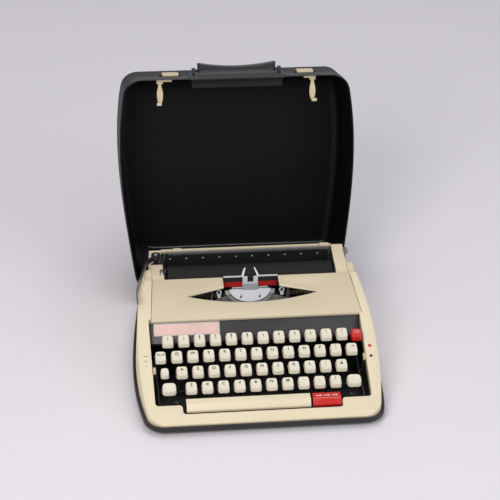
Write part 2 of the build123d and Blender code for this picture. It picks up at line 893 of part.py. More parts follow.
left_cover_points = (
    (61.5, 63.0),
    (61.5, 86.0),
    (66.0, 90.5),
    (89.0, 92.5),
    (89.0, 79.0),
    (110.0, 79.0),
    (110.0, 98.0),
    (112.0, 98.6),
    (115.5, 95.0),
    (120.5, 86.0),
    (120.5, 63.0),
)
ratchet_radius = 11.5
lever_post_x = home_x - 114.0
lever_post_y = 99.5
lever_top_z = 97.6
lever_pin_radius = 1.8
carriage_end_left = joined(
    side_prism(left_cover_points, home_x - cover_outer, home_x - cover_inner),
    post(lever_post_x, lever_post_y, 78.0, 94.0, lever_pin_radius),
    cut=(
        shaft_hole,
        rod(home_x - cover_inner - 4.5, home_x - cover_inner + 1, platen_y, platen_z, ratchet_radius + 1.0),
    ),
)
save(carriage_end_left, "carriage_end_left")

platen = joined(
    rod(home_x - platen_half, home_x + platen_half, platen_y, platen_z, platen_radius),
    rod(home_x - knob_outer + 1.5, home_x + knob_outer - 1.5, platen_y, platen_z, shaft_radius),
)
save(platen, "platen")

knob_width = 8.6


def platen_knob(x_outer, x_inner):
    """Grip ring with a rounded outer edge and flutes, pressed on the shaft."""
    low = min(x_outer, x_inner)
    high = max(x_outer, x_inner)
    flutes = 24
    with BuildPart() as knob:
        with BuildSketch(Plane.YZ.offset(low)):
            with Locations((platen_y, platen_z)):
                Circle(knob_radius)
        extrude(amount=high - low)
        outer_face = knob.faces().sort_by(Axis.X)[-1 if x_outer > 0 else 0]
        fillet(outer_face.edges(), 2.0)
        with BuildSketch(Plane.YZ.offset(low - 1)):
            with Locations((platen_y, platen_z)):
                with PolarLocations(knob_radius + 0.35, flutes):
                    Circle(0.9)
        extrude(amount=high - low + 2, mode=Mode.SUBTRACT)
        socket_low = low if x_outer > 0 else low + 1.5
        socket_high = high - 1.5 if x_outer > 0 else high
        add(rod(socket_low, socket_high, platen_y, platen_z, shaft_radius), mode=Mode.SUBTRACT)
    return knob


platen_knob_left = platen_knob(home_x - knob_outer, home_x - knob_outer + knob_width)
save(platen_knob_left, "platen_knob_left")
platen_knob_right = platen_knob(home_x + knob_outer, home_x + knob_outer - knob_width)
save(platen_knob_right, "platen_knob_right")

ratchet_teeth = 30
with BuildPart() as line_ratchet:
    with BuildSketch(Plane.YZ.offset(home_x - cover_inner - 3.6)):
        with Locations((platen_y, platen_z)):
            Circle(ratchet_radius)
            Circle(shaft_radius, mode=Mode.SUBTRACT)
            with PolarLocations(ratchet_radius, ratchet_teeth):
                Rectangle(2.0, 1.2, rotation=30, mode=Mode.SUBTRACT)
    extrude(amount=3.0)
save(line_ratchet, "line_ratchet")

roller_radius = math.hypot(roller_y - platen_y, roller_z - platen_z) - platen_radius - roller_gap
roller_length = 22.0
feed_rollers = joined(
    rod(home_x - side_plate_high + 0.4, home_x + side_plate_high - 0.4, roller_y, roller_z, roller_shaft),
    *[
        rod(home_x + c - roller_length / 2, home_x + c + roller_length / 2, roller_y, roller_z, roller_radius)
        for c in (-75, -25, 25, 75)
    ],
)
save(feed_rollers, "feed_rollers")

# ---- Paper table, paper bail, margin rail with its two stops

table_half = 101.5
table_section = ((100.0, 65.4), (101.2, 65.4), (101.6, 96.6), (100.4, 96.6))
paper_table = joined(side_prism(table_section, home_x - table_half, home_x + table_half))
save(paper_table, "paper_table")

bail_arm_width = 1.4
bail_arm_points = (
    (bail_pivot_y - 2.6, bail_pivot_z - 2), (bail_pivot_y + 2.6, bail_pivot_z - 2),
    (bail_pivot_y + 2.4, bail_pivot_z + 4), (bail_y + 1.4, bail_z), (bail_y - 1.8, bail_z),
)
paper_bail = joined(
    rod(home_x - bail_half, home_x + bail_half, bail_y, bail_z, bail_radius),
    side_prism(bail_arm_points, home_x + bail_half - bail_arm_width, home_x + bail_half),
    side_prism(bail_arm_points, home_x - bail_half, home_x - bail_half + bail_arm_width),
    box(home_x - 98, home_x + 98, bail_y - 2.0, bail_y - 0.9, bail_z - 1.8, bail_z + 0.6),
    cut=(rod(home_x - 120, home_x + 120, bail_pivot_y, bail_pivot_z, 1.4 + running_fit),),
)
save(paper_bail, "paper_bail")

margin_y = 112.0
margin_z = 97.0
margin_depth = 3.4
margin_height = 4.0
margin_rail = joined(
    box(
        home_x - cover_inner, home_x + cover_inner,
        margin_y - margin_depth / 2, margin_y + margin_depth / 2,
        margin_z - margin_height / 2, margin_z + margin_height / 2,
    )
)
save(margin_rail, "margin_rail")


def margin_stop(x):
    """Saddle over the rail: thick front with the finger grip, thin top, rear lip below the rail's top."""
    low = x - 5.2
    high = x + 5.2
    play = 0.3
    front = margin_y - margin_depth / 2 - play
    back = margin_y + margin_depth / 2 + play
    top = margin_z + margin_height / 2 + play
    bottom = margin_z - margin_height / 2 - play
    return joined(
        box(low, high, front - 2.2, front, bottom - 1.4, top + 0.8),
        box(low, high, front - 1.0, back - 0.3, top, top + 0.8),
        box(low, high, front - 1.0, back + 1.0, bottom - 1.4, bottom),
        box(low, high, back, back + 1.0, bottom - 1.4, bottom + 2.0),
    )


margin_stop_left = margin_stop(home_x - 86.0)
save(margin_stop_left, "margin_stop_left")
margin_stop_right = margin_stop(home_x + 98.0)
save(margin_stop_right, "margin_stop_right")

# ---- Line-space lever at the left end, paper release at the right end

blade_sheet = 1.8
hub_height = 6.6
hub_low_z = lever_top_z - hub_height / 2
hub_high_z = lever_top_z + hub_height / 2
blade_plan = (
    (lever_post_x, lever_post_y - 2.0),
    (-122.5, 86.0),
    (-129.5, 66.0),
    (-136.6, 44.0),
    (-139.6, 29.0),
    (-139.7, 14.0),
)
# top edge from the hub to the paddle's end, then the lower edge back to the hub
blade_profile = (
    (lever_post_y, hub_high_z),
    (86.0, hub_high_z),
    (66.0, 99.4),
    (44.0, 95.4),
    (12.0, 93.5),
    (12.0, 84.5),
    (30.0, 86.0),
    (44.0, 87.4),
    (62.6, 91.8),
    (66.0, 93.4),
    (84.0, 93.4),
    (88.5, hub_low_z),
    (lever_post_y, hub_low_z),
)
with BuildPart() as blade:
    with BuildSketch(Plane.XY.offset(80.0)):
        with BuildLine():
            Spline(*blade_plan)
        trace(line_width=blade_sheet)
    extrude(amount=25.0)
    add(side_prism(blade_profile, -150, -100), mode=Mode.INTERSECT)
return_lever = joined(
    blade.part,
    post(lever_post_x, lever_post_y, hub_low_z, hub_high_z, 5.5),
    post(lever_post_x, lever_post_y, 79.6, lever_top_z, 3.6),
    cut=(post(lever_post_x, lever_post_y, 79.0, 94.5, lever_pin_radius + running_fit),),
)
save(return_lever, "return_lever")

release_reach = 126.0
release_top_z = 98.0
paper_release = joined(
    side_prism(
        (
            (release_y - 3, release_z - 3),
            (release_y + 3, release_z - 3),
            (release_y + 6, release_top_z),
            (release_y - 6, release_top_z),
        ),
        home_x + cover_outer + 0.5,
        home_x + cover_outer + 2.1,
    ),
    box(
        home_x + cover_outer + 0.5,
        home_x + release_reach,
        release_y - 6,
        release_y + 6,
        release_top_z - 1.6,
        release_top_z,
    ),
    cut=(rod(home_x + cover_outer, home_x + 130, release_y, release_z, release_pin_radius + running_fit),),
)
save(paper_release, "paper_release")

# ---- Lid, modelled shut and then swung open about the hinge pins

lid_rim_z = rim_z + lid_gap
lid_top_z = rim_z + lid_depth


def lid_block(inset, top_z, end_radius, side_radius):
    """Closed lid form: drafted plan block with large end roundings and smaller side roundings."""
    low_z = lid_rim_z - (0 if inset == 0 else 5)

    def on_long_top_side(edge):
        centre = edge.center()
        return centre.Z > top_z - 1 and abs(centre.X) > 90 and abs(centre.Y) < 125 and edge.length > 15

    block = case_block(low_z, inset, top_z, inset + lid_draft)
    with BuildPart() as profile:
        with BuildSketch(Plane.YZ.offset(-200)) as side:
            with Locations((0, top_z - 100)):
                Rectangle(case_length - 2 * inset, 200)
            fillet(side.vertices().group_by(Axis.Z)[-1], end_radius)
        extrude(amount=400)
    with BuildPart() as form:
        add(block)
        add(profile.part, mode=Mode.INTERSECT)
        fillet(form.edges().filter_by(on_long_top_side), side_radius)
    return form.part


lid_form = lid_block(0.0, lid_top_z, lid_end_radius, lid_side_radius)
lid_hollow = lid_block(lid_wall, lid_top_z - lid_wall, lid_end_radius - lid_wall, lid_side_radius - lid_wall)
leaf_top_z = 21.2
notch_half_width = 17.0
hinge_notches = [
    box(x - notch_half_width, x + notch_half_width, rear_y - 8, rear_y + 2, 0, leaf_top_z - 0.2)
    for x in (-hinge_x, hinge_x)
]
latch_x = (-82.0, 88.0)
latch_z = 34.0
latch_slots = [
    box(x - 13.5, x + 13.5, front_y - 2, front_y + 6, latch_z - 5.5, latch_z + 5.5)
    for x in latch_x
]
handle_x = 1.0
bracket_half = 60.0
wrap_top_z = lid_rim_z + 1.2
rim_notch = box(
    handle_x - bracket_half - 0.5, handle_x + bracket_half + 0.5, front_y - 1, front_y + 6, 0, wrap_top_z
)
closed_lid = joined(lid_form, cut=(lid_hollow, *hinge_notches, *latch_slots, rim_notch))

lid_swing = Pos(0, hinge_y, hinge_z) * Rot(-(90 + lid_lean), 0, 0) * Pos(0, -hinge_y, -hinge_z)


def opened(*solids):
    """Pieces modelled on the shut lid, carried to the open position."""
    return joined(*[lid_swing * solid for solid in solids])


case_lid = opened(closed_lid.part)
save(case_lid, "case_lid")

# ---- Hinges: knuckles and pin on the tray, one knuckle and leaf on the lid

pin_radius = 1.5
knuckle_radius = 3.0
outer_knuckle = 8.0
inner_half = 6.6
hinge_brackets_solids = []
for s in (-1, 1):
    centre = s * hinge_x
    hinge_brackets_solids.append(box(centre - 15, centre + 15, rear_y, rear_y + 1.0, 8.0, rim_z - 0.6))
    for side in (-1, 1):
        near = centre + side * (inner_half + 0.4)
        far = near + side * outer_knuckle
        low, high = min(near, far), max(near, far)
        hinge_brackets_solids.append(rod(low, high, hinge_y, hinge_z, knuckle_radius))
        hinge_brackets_solids.append(box(low, high, rear_y + 0.5, hinge_y + 1.0, 9.5, hinge_z - 0.5))
    hinge_brackets_solids.append(rod(centre - 10, centre + 10, hinge_y, hinge_z, pin_radius))
hinge_brackets = joined(*hinge_brackets_solids)
save(hinge_brackets, "hinge_brackets")

leaf_solids = []
for s in (-1, 1):
    centre = s * hinge_x
    leaf = joined(
        rod(centre - inner_half, centre + inner_half, hinge_y, hinge_z, knuckle_radius),
        box(centre - inner_half, centre + inner_half, rear_y - 0.2, rear_y + 1.2, hinge_z + 1.0, leaf_top_z),
        box(centre - inner_half, centre + inner_half, rear_y - 0.2, hinge_y, hinge_z + 1.0, hinge_z + 3.0),
        box(centre - 12, centre + 12, rear_y + 0.1, rear_y + 1.2, leaf_top_z, 34.0),
        cut=(rod(centre - 20, centre + 20, hinge_y, hinge_z, pin_radius + running_fit),),
    )
    leaf_solids.append(leaf.part)
lid_hinge_leaves = opened(*leaf_solids)
save(lid_hinge_leaves, "lid_hinge_leaves")

# ---- Latches: sliding button through the lid's front wall, hook finger inside


def lid_front(z):
    """Y of the lid's drafted front wall at height z, lid shut."""
    return front_y + lid_draft * (z - lid_rim_z) / lid_depth


finger_z_low = 27.5
finger_z_high = 31.0
finger_tip_y = -101.5
toe_z_low = 20.5
finger_sheet = 1.4


def finger_leaf(x, y_low):
    """Flat of the finger: a small plate at the wall, a neck, and a leaf that narrows to the tip."""
    plate_half = 4.0
    neck_half_width = 2.0
    leaf_half = 3.6
    plate_y = y_low + 6.0
    leaf_y = y_low + 17.0
    with BuildPart() as leaf:
        with BuildSketch(Plane.XY.offset(finger_z_low)) as outline:
            with Locations((x, (y_low + plate_y) / 2)):
                Rectangle(2 * plate_half, plate_y - y_low)
            with Locations((x, (y_low + leaf_y) / 2)):
                Rectangle(2 * neck_half_width, leaf_y - y_low)
            with BuildLine():
                Line((x - 1.4, plate_y + 2), (x + 1.4, plate_y + 2))
                ThreePointArc((x + 1.4, plate_y + 2), (x + leaf_half, leaf_y), (x + 1.4, finger_tip_y))
                Line((x + 1.4, finger_tip_y), (x - 1.4, finger_tip_y))
                ThreePointArc((x - 1.4, finger_tip_y), (x - leaf_half, leaf_y), (x - 1.4, plate_y + 2))
            make_face()
        extrude(amount=finger_sheet)
    return leaf.part


def latch(x, finger_x, outward):
    """Button plate outside, neck through the slot, leaf-shaped finger inside with a sideways toe."""
    wall = lid_front(latch_z)
    inner = wall + 2.8
    toe_out = finger_x + outward * 4.4
    return joined(
        box(x - 10, x + 10, wall - 3.2, wall - 0.6, latch_z - 7, latch_z + 7),
        box(x - 6, x + 6, wall - 0.8, wall + 4.0, latch_z - 5, latch_z + 5),
        box(x - 9, x + 9, inner, wall + 4.0, latch_z - 7, latch_z + 7),
        box(min(x, finger_x) - 1.5, max(x, finger_x) + 1.5, inner, wall + 6.5, finger_z_low, finger_z_high),
        box(finger_x - 1.4, finger_x + 1.4, inner, finger_tip_y, finger_z_low, finger_z_high),
        finger_leaf(finger_x, inner),
        box(finger_x - 1.4, finger_x + 1.4, finger_tip_y - 3.5, finger_tip_y, toe_z_low, finger_z_high),
        box(min(finger_x, toe_out), max(finger_x, toe_out), finger_tip_y - 3.5, finger_tip_y,
            toe_z_low, toe_z_low + 2.0),
    )


finger_left_x = -95.6
finger_right_x = 97.2
latch_left = opened(latch(latch_x[0], finger_left_x, -1).part)
save(latch_left, "latch_left")
latch_right = opened(latch(latch_x[1], finger_right_x, 1).part)
save(latch_right, "latch_right")

# ---- Handle on the lid's front wall

bracket_high_z = 44.0
bracket_sheet = 1.2
handle_pivot_z = 30.0
handle_pivot_y = front_y - 6.0
ear_x = 50.0
handle_pin_radius = 1.4
wrap_low_z = lid_rim_z + 0.1
wrap_outer = front_y - bracket_sheet
wrap_inner = front_y + lid_wall + 0.22
bracket_section = (
    (wrap_outer, wrap_low_z),
    (wrap_inner + bracket_sheet, wrap_low_z),
    (wrap_inner + bracket_sheet + 0.6, lid_rim_z + 12),
    (wrap_inner + 0.6, lid_rim_z + 12),
    (wrap_inner, wrap_top_z),
    (front_y, wrap_top_z),
    (lid_front(bracket_high_z), bracket_high_z),
    (lid_front(bracket_high_z) - bracket_sheet, bracket_high_z),
)
flap_half = 57.0
flap_section = (
    (wrap_inner, 14.2),
    (-128.0, 20.6),
    (-122.0, 22.8),
    (-122.6, 24.8),
    (-128.6, 22.6),
    (wrap_inner, 17.4),
)
with BuildPart() as flap:
    add(side_prism(flap_section, handle_x - flap_half, handle_x + flap_half))
    flap_corners = flap.edges().filter_by(lambda edge: edge.center().Y > -123 and edge.length < 3)
    fillet(flap_corners, 2.5)
bracket_solids = [
    side_prism(bracket_section, handle_x - bracket_half, handle_x + bracket_half),
    flap.part,
]
for s in (-1, 1):
    ear_mid = handle_x + s * (ear_x + 4)
    bracket_solids.append(
        box(ear_mid - 2, ear_mid + 2, handle_pivot_y - 3, front_y - 1, handle_pivot_z - 3, handle_pivot_z + 3)
    )
    pin_mid = handle_x + s * ear_x
    bracket_solids.append(rod(pin_mid - 4, pin_mid + 4, handle_pivot_y, handle_pivot_z, handle_pin_radius))
handle_bracket_closed = joined(*bracket_solids)
handle_bracket = opened(handle_bracket_closed.part)
save(handle_bracket, "handle_bracket")

grip_y = handle_pivot_y - 9.0
grip_half = 47.0
grip_inner_y = handle_pivot_y - 0.6
grip_hollow = 4.5
grip_half_height = 5.5
with BuildPart() as grip:
    with BuildSketch(Plane.XY.offset(handle_pivot_z)):
        with BuildLine():
            ThreePointArc(
                (handle_x - grip_half, grip_y),
                (handle_x, grip_y + grip_hollow),
                (handle_x + grip_half, grip_y),
            )
            Line((handle_x + grip_half, grip_y), (handle_x + grip_half, grip_inner_y))
            Line((handle_x + grip_half, grip_inner_y), (handle_x - grip_half, grip_inner_y))
            Line((handle_x - grip_half, grip_inner_y), (handle_x - grip_half, grip_y))
        make_face()
    extrude(amount=grip_half_height, both=True)
    outer_edges = grip.edges().filter_by(GeomType.CIRCLE).filter_by(lambda e: e.length > grip_half)
    fillet(outer_edges, 1.4)


def grip_arm(side):
    """Ear at one end of the grip that takes the pivot pin."""
    near = handle_x + side * (grip_half - 1.0)
    far = handle_x + side * (grip_half + 2.0)
    half = 3.0
    y_high = handle_pivot_y + 2.8
    return box(min(near, far), max(near, far), grip_y, y_high, handle_pivot_z - half, handle_pivot_z + half)


arms = [grip_arm(side) for side in (-1, 1)]
pin_bore_radius = handle_pin_radius + running_fit
handle_closed = joined(
    grip.part,
    *arms,
    cut=(
        rod(handle_x - 60, handle_x - grip_half + 1.5, handle_pivot_y, handle_pivot_z, pin_bore_radius),
        rod(handle_x + grip_half - 1.5, handle_x + 60, handle_pivot_y, handle_pivot_z, pin_bore_radius),
    ),
)
handle_grip = opened(handle_closed.part)
save(handle_grip, "handle_grip")

# ---- Catches in the well's front corners that the latch fingers hook behind

catch_y_low = finger_tip_y - 4.5
catch_y_high = finger_tip_y + 1.0
lip_z_low = toe_z_low + 2.6
lip_z_high = lip_z_low + 1.4
with BuildPart() as catch_plates:
    for x, s in ((finger_left_x, -1), (finger_right_x, 1)):
        add(box(x + s * 8.6, x + s * 10.0, catch_y_low, catch_y_high, tray_floor_z, lip_z_high))
        add(box(x + s * 4.9, x + s * 10.0, catch_y_low, catch_y_high, lip_z_low, lip_z_high))
        add(box(x + s * 8.6, x + s * 15.0, catch_y_low, catch_y_high, tray_floor_z, tray_floor_z + 1.5))
save(catch_plates, "catch_plates")
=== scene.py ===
"""Portable typewriter standing in its open carrying case.

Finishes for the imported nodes, and the fine pieces that ride on them: rounded key caps with their
letters, the two-colour ribbon, chrome loops, the line lever, lid mouldings and small marks.
"""
import math

import bpy
from mathutils import Matrix, Vector


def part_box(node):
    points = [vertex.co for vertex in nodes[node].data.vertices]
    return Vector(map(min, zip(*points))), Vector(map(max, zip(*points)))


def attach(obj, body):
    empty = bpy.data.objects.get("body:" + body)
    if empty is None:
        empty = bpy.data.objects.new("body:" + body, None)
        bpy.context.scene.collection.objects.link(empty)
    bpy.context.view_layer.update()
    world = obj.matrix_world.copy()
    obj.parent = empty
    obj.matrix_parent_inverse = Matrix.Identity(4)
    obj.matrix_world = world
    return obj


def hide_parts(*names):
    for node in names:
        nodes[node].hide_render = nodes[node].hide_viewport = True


MM = 0.001
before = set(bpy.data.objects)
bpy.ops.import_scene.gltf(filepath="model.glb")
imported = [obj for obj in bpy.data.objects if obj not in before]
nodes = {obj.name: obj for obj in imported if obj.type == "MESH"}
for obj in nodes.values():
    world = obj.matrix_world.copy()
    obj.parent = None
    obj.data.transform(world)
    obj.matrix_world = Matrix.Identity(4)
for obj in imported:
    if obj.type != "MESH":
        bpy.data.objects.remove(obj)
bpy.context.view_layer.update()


# ---- Finishes

def tone(red, green, blue):
    """Linear colour from the usual 0 to 255 steps."""
    steps = (value / 255 for value in (red, green, blue))
    return tuple(s / 12.92 if s <= 0.04045 else ((s + 0.055) / 1.055) ** 2.4 for s in steps) + (1.0,)


class Value:
    """A shader value; arithmetic on it adds Math nodes."""

    def __init__(self, finish, socket):
        self.finish = finish
        self.socket = socket

    def _math(self, operation, first, second):
        node = self.finish.node("ShaderNodeMath", {"operation": operation}, {0: first, 1: second})
        return Value(self.finish, node.outputs[0])

    def __add__(self, other):
        return self._math("ADD", self, other)

    def __radd__(self, other):
        return self._math("ADD", other, self)

    def __sub__(self, other):
        return self._math("SUBTRACT", self, other)

    def __rsub__(self, other):
        return self._math("SUBTRACT", other, self)

    def __mul__(self, other):
        return self._math("MULTIPLY", self, other)

    def __rmul__(self, other):
        return self._math("MULTIPLY", other, self)

    def above(self, level):
        return self._math("GREATER_THAN", self, level)


class Finish:
    """One procedural material round a Principled shader, patterned on Object coordinates."""

    def __init__(self, name, **constants):
        self.material = bpy.data.materials.new(name)
        self.material.use_nodes = True
        self.tree = self.material.node_tree
        self.tree.nodes.clear()
        self.shader = self.tree.nodes.new("ShaderNodeBsdfPrincipled")
        output = self.tree.nodes.new("ShaderNodeOutputMaterial")
        self.tree.links.new(self.shader.outputs["BSDF"], output.inputs["Surface"])
        for socket, value in constants.items():
            self.shader.inputs[socket.replace("_", " ")].default_value = value
        self.place = self.node("ShaderNodeTexCoord", {}, {}).outputs["Object"]

    def node(self, kind, settings, sockets):
        """Any node: its settings first, then its sockets, each a link or a plain value."""
        made = self.tree.nodes.new(kind)
        for setting, value in settings.items():
            setattr(made, setting, value)
        for socket, value in sockets.items():
            self.fill(made.inputs[socket], value)
        return made

    def fill(self, socket, value):
        if isinstance(value, Value):
            value = value.socket
        if isinstance(value, bpy.types.NodeSocket):
            self.tree.links.new(value, socket)
        else:
            socket.default_value = value

    def put(self, socket, value):
        self.fill(self.shader.inputs[socket], value)

    def stretched(self, stretch):
        """Object coordinates with each axis scaled."""
        return self.node("ShaderNodeMapping", {}, {"Vector": self.place, "Scale": stretch}).outputs["Vector"]

    def noise(self, scale, detail=3.0, stretch=(1, 1, 1)):
        sockets = {"Vector": self.stretched(stretch), "Scale": scale, "Detail": detail, "Roughness": 0.55}
        return Value(self, self.node("ShaderNodeTexNoise", {}, sockets).outputs["Fac"])

    def axis(self, name):
        split = self.node("ShaderNodeSeparateXYZ", {}, {"Vector": self.place})
        return Value(self, split.outputs[name])

    def mix(self, factor, first, second):
        """Colour from first to second as factor goes from 0 to 1."""
        sockets = {0: factor, 6: first, 7: second}
        return self.node("ShaderNodeMix", {"data_type": "RGBA"}, sockets).outputs[2]

    def bump(self, height, distance, strength=1.0):
        sockets = {"Height": height, "Distance": distance, "Strength": strength}
        self.put("Normal", self.node("ShaderNodeBump", {}, sockets).outputs["Normal"])


def moulded(name, colour, worn, roughness, grain=900.0, depth=0.00004, beyond=None, **constants):
    """Plastic or paint: faint clouding, handled patches, a fine grain, and another colour past a level.

    beyond holds an axis, the level, the width over which the colour turns, and the other colour.
    """
    made = Finish(name, **constants)
    shade = made.mix(made.noise(14.0) * 0.9 - 0.2, colour, worn)
    if beyond:
        axis, level, width, other = beyond
        shade = made.mix((made.axis(axis) - level) * (1 / width), shade, other)
    made.put("Base Color", shade)
    made.put("Roughness", roughness + made.noise(55.0) * 0.14 - 0.07)
    made.bump(made.noise(grain, 2.0), depth)
    return made.material


def steel(name, colour, dull, roughness, along=(1, 14, 14), metallic=0.7, **constants):
    """Metal with a drawn grain and duller patches."""
    made = Finish(name, Metallic=metallic, **constants)
    grain = made.noise(180.0, 4.0, along)
    made.put("Base Color", made.mix(made.noise(60.0) * 0.8 + grain * 0.3 - 0.2, colour, dull))
    made.put("Roughness", roughness + grain * 0.16 - 0.08)
    made.bump(grain, 0.00002)
    return made.material


cream = moulded("cream_paint", tone(221, 208, 178), tone(214, 200, 169), 0.42, 1400.0, 0.00002)
shell_cream = moulded("shell_cream", tone(236, 223, 191), tone(229, 215, 182), 0.4, 1400.0, 0.00002)
key_cream = moulded(
    "key_cream", tone(236, 229, 210), tone(228, 220, 198), 0.34, 600.0, 0.00001, Coat_Weight=0.15
)
key_red = moulded("key_red", tone(208, 16, 7), tone(194, 13, 6), 0.36, 600.0, 0.00001, Coat_Weight=0.15)

# The arms behind the space bar and the repeat key are dark. The rim of the open lid and the top of its
# bracket are lighter grey: painted highlight where the light from above falls on them.
dark_arms = ("Y", -101.2 * MM, 0.2 * MM, tone(30, 30, 31))
lid_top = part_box("case_lid")[1].z
bar_cream = moulded(
    "bar_cream", tone(240, 228, 197), tone(233, 220, 188), 0.34, 600.0, 0.00001, dark_arms, Coat_Weight=0.15
)
bar_red = moulded(
    "bar_red", tone(208, 16, 7), tone(194, 13, 6), 0.36, 600.0, 0.00001, dark_arms, Coat_Weight=0.15
)
# Within 9 mm of the open lid's top the black turns light grey: painted highlight on the upturned rim.
case_black = moulded(
    "case_black", tone(8, 8, 9), tone(12, 12, 13), 0.5, 1700.0, 0.00008,
    ("Z", lid_top - 9.0 * MM, 8.0 * MM, tone(74, 74, 77)), Specular_IOR_Level=0.15,
)
tray_black = moulded("tray_black", tone(30, 29, 29), tone(40, 38, 36), 0.5, 1700.0, 0.00008)
panel_black = moulded("panel_black", tone(42, 41, 41), tone(52, 51, 50), 0.38, 1500.0, 0.00003)
frame_black = moulded("frame_black", tone(20, 20, 21), tone(34, 33, 32), 0.5, 700.0, 0.00003)
foot_rubber = moulded("foot_rubber", tone(26, 26, 26), tone(40, 39, 38), 0.8, 500.0, 0.0001)
platen_rubber = moulded(
    "platen_rubber", tone(24, 24, 24), tone(31, 30, 30), 0.7, 800.0, 0.00003, Specular_IOR_Level=0.25
)
grip_black = moulded("grip_black", tone(28, 28, 31), tone(36, 36, 39), 0.4, 1200.0, 0.00004)
# The bracket's top 2.5 mm turns lighter grey: painted highlight on its upturned face.
bracket_black = moulded(
    "bracket_black", tone(30, 30, 31), tone(38, 38, 39), 0.5, 1300.0, 0.00005,
    ("Z", lid_top - 2.5 * MM, 0.5 * MM, tone(58, 58, 60)), Specular_IOR_Level=0.3,
)
# Light grey for the bead inside the lid: a painted highlight along the bend of the lid's inner wall.
lid_bead_highlight = moulded("lid_bead_highlight", tone(104, 104, 107), tone(120, 120, 123), 0.35, 900.0, 0.00002)
bail_grey = moulded("bail_grey", tone(112, 112, 114), tone(92, 92, 94), 0.35, 900.0, 0.00001, Metallic=0.3)
# A darker copy of the cover's cream for the lips: painted shade on their tilted faces.
lip_shaded_cream = moulded("lip_shaded_cream", tone(214, 201, 171), tone(208, 194, 164), 0.42, 1400.0, 0.00002)
ivory = moulded("ivory", tone(226, 212, 174), tone(200, 182, 142), 0.34, 500.0, 0.00001, Coat_Weight=0.1)
# Black for printed marks, and also as painted shade in the plate screws' slots.
print_and_slot_shade_black = moulded("print_and_slot_shade_black", tone(38, 34, 32), tone(52, 48, 46), 0.5)
mark_red = moulded("mark_red", tone(200, 30, 24), tone(186, 26, 20), 0.4)
mark_white = moulded("mark_white", tone(230, 228, 222), tone(216, 212, 204), 0.5)
mark_pink = moulded("mark_pink", tone(240, 170, 150), tone(230, 150, 130), 0.5)
release_grey = moulded("release_grey", tone(128, 120, 118), tone(146, 138, 136), 0.35, 800.0, 0.00002)
badge = steel("badge_sheet", tone(226, 196, 186), tone(206, 176, 168), 0.42)
bright_steel = steel("bright_steel", tone(198, 200, 202), tone(160, 161, 162), 0.34)
chrome = steel("chrome", tone(222, 223, 225), tone(196, 197, 198), 0.16)
plated = steel("plated", tone(216, 219, 223), tone(198, 201, 206), 0.42, metallic=0.3)
guide_white = moulded(
    "guide_white", tone(232, 234, 237), tone(218, 220, 224), 0.3, 600.0, 0.00001, Coat_Weight=0.2
)
type_metal = steel("type_metal", tone(178, 176, 172), tone(126, 124, 120), 0.42, (8, 8, 8), 0.35)
dark_steel = steel("dark_steel", tone(70, 70, 72), tone(44, 44, 46), 0.42, (6, 6, 6))
# Past y = 50 mm, toward the hub, the lever turns dark grey: painted shade on the arm's inner face.
line_lever = moulded(
    "line_lever", tone(116, 117, 120), tone(92, 93, 96), 0.3, 900.0, 0.00001,
    ("Y", 50.0 * MM, 4.0 * MM, tone(46, 46, 48)), Metallic=0.3,
)
lever_steel = steel("lever_steel", tone(34, 34, 35), tone(24, 24, 25), 0.45, (6, 6, 6))


def ribbon_cloth():
    """Inked cloth, black above and red below, with its weave."""
    red_height = 6.9 * MM
    made = Finish("ribbon_cloth")
    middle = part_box("ribbon")[0].z + red_height
    upper = made.axis("Z").above(middle)
    made.put("Base Color", made.mix(upper, tone(192, 24, 20), tone(30, 28, 28)))
    made.put("Roughness", 0.72 + made.noise(300.0) * 0.2)
    weave = made.node("ShaderNodeTexWave", {"bands_direction": "Z"}, {"Vector": made.place, "Scale": 1400.0})
    made.bump(Value(made, weave.outputs["Fac"]), 0.00003)
    return made.material


ribbon_ink = ribbon_cloth()

finish_of = {
    shell_cream: ("body_shell",),
    cream: (
        "ribbon_cover", "carriage_end_left", "carriage_end_right", "margin_rail",
        "platen_knob_left", "platen_knob_right", "margin_stop_left", "margin_stop_right",
    ),
    key_cream: (
        "number_row_caps", "upper_row_caps", "home_row_caps", "lower_row_caps", "key_centre", "shift_keys",
        "shift_lock_key", "margin_release_key", "backspace_key", "space_bar",
    ),
    key_red: ("tab_key", "repeat_key"),
    case_black: ("case_lid",),
    tray_black: ("base_tray",),
    panel_black: ("key_panel",),
    bracket_black: ("handle_bracket",),
    frame_black: ("main_frame", "carriage_frame", "carriage_rail"),
    foot_rubber: ("rubber_feet",),
    platen_rubber: ("platen", "feed_rollers", "paper_table"),
    grip_black: ("handle_grip",),
    ivory: ("colour_lever", "touch_lever", "latch_left", "latch_right"),
    release_grey: ("paper_release",),
    badge: ("badge_plate",),
    bright_steel: (
        "ball_race", "hinge_brackets", "lid_hinge_leaves", "line_ratchet", "ribbon_posts",
        "ribbon_spool_left", "ribbon_spool_right",
    ),
    line_lever: ("return_lever",),
    dark_steel: ("catch_plates",),
    bail_grey: ("paper_bail",),
    plated: ("segment_plate",),
    guide_white: ("type_guide", "ribbon_holder"),
    type_metal: ("type_segment", "typebars", "typebar_centre"),
    lever_steel: ("number_row_levers", "upper_row_levers", "home_row_levers", "lower_row_levers"),
    ribbon_ink: ("ribbon",),
}
for material, names in finish_of.items():
    for name in names:
        nodes[name].data.materials.clear()
        nodes[name].data.materials.append(material)


# ---- Making pieces

def start():
    """Nothing selected, ready for a new piece."""
    if bpy.context.object and bpy.context.object.mode != "OBJECT":
        bpy.ops.object.mode_set(mode="OBJECT")
    bpy.ops.object.select_all(action="DESELECT")


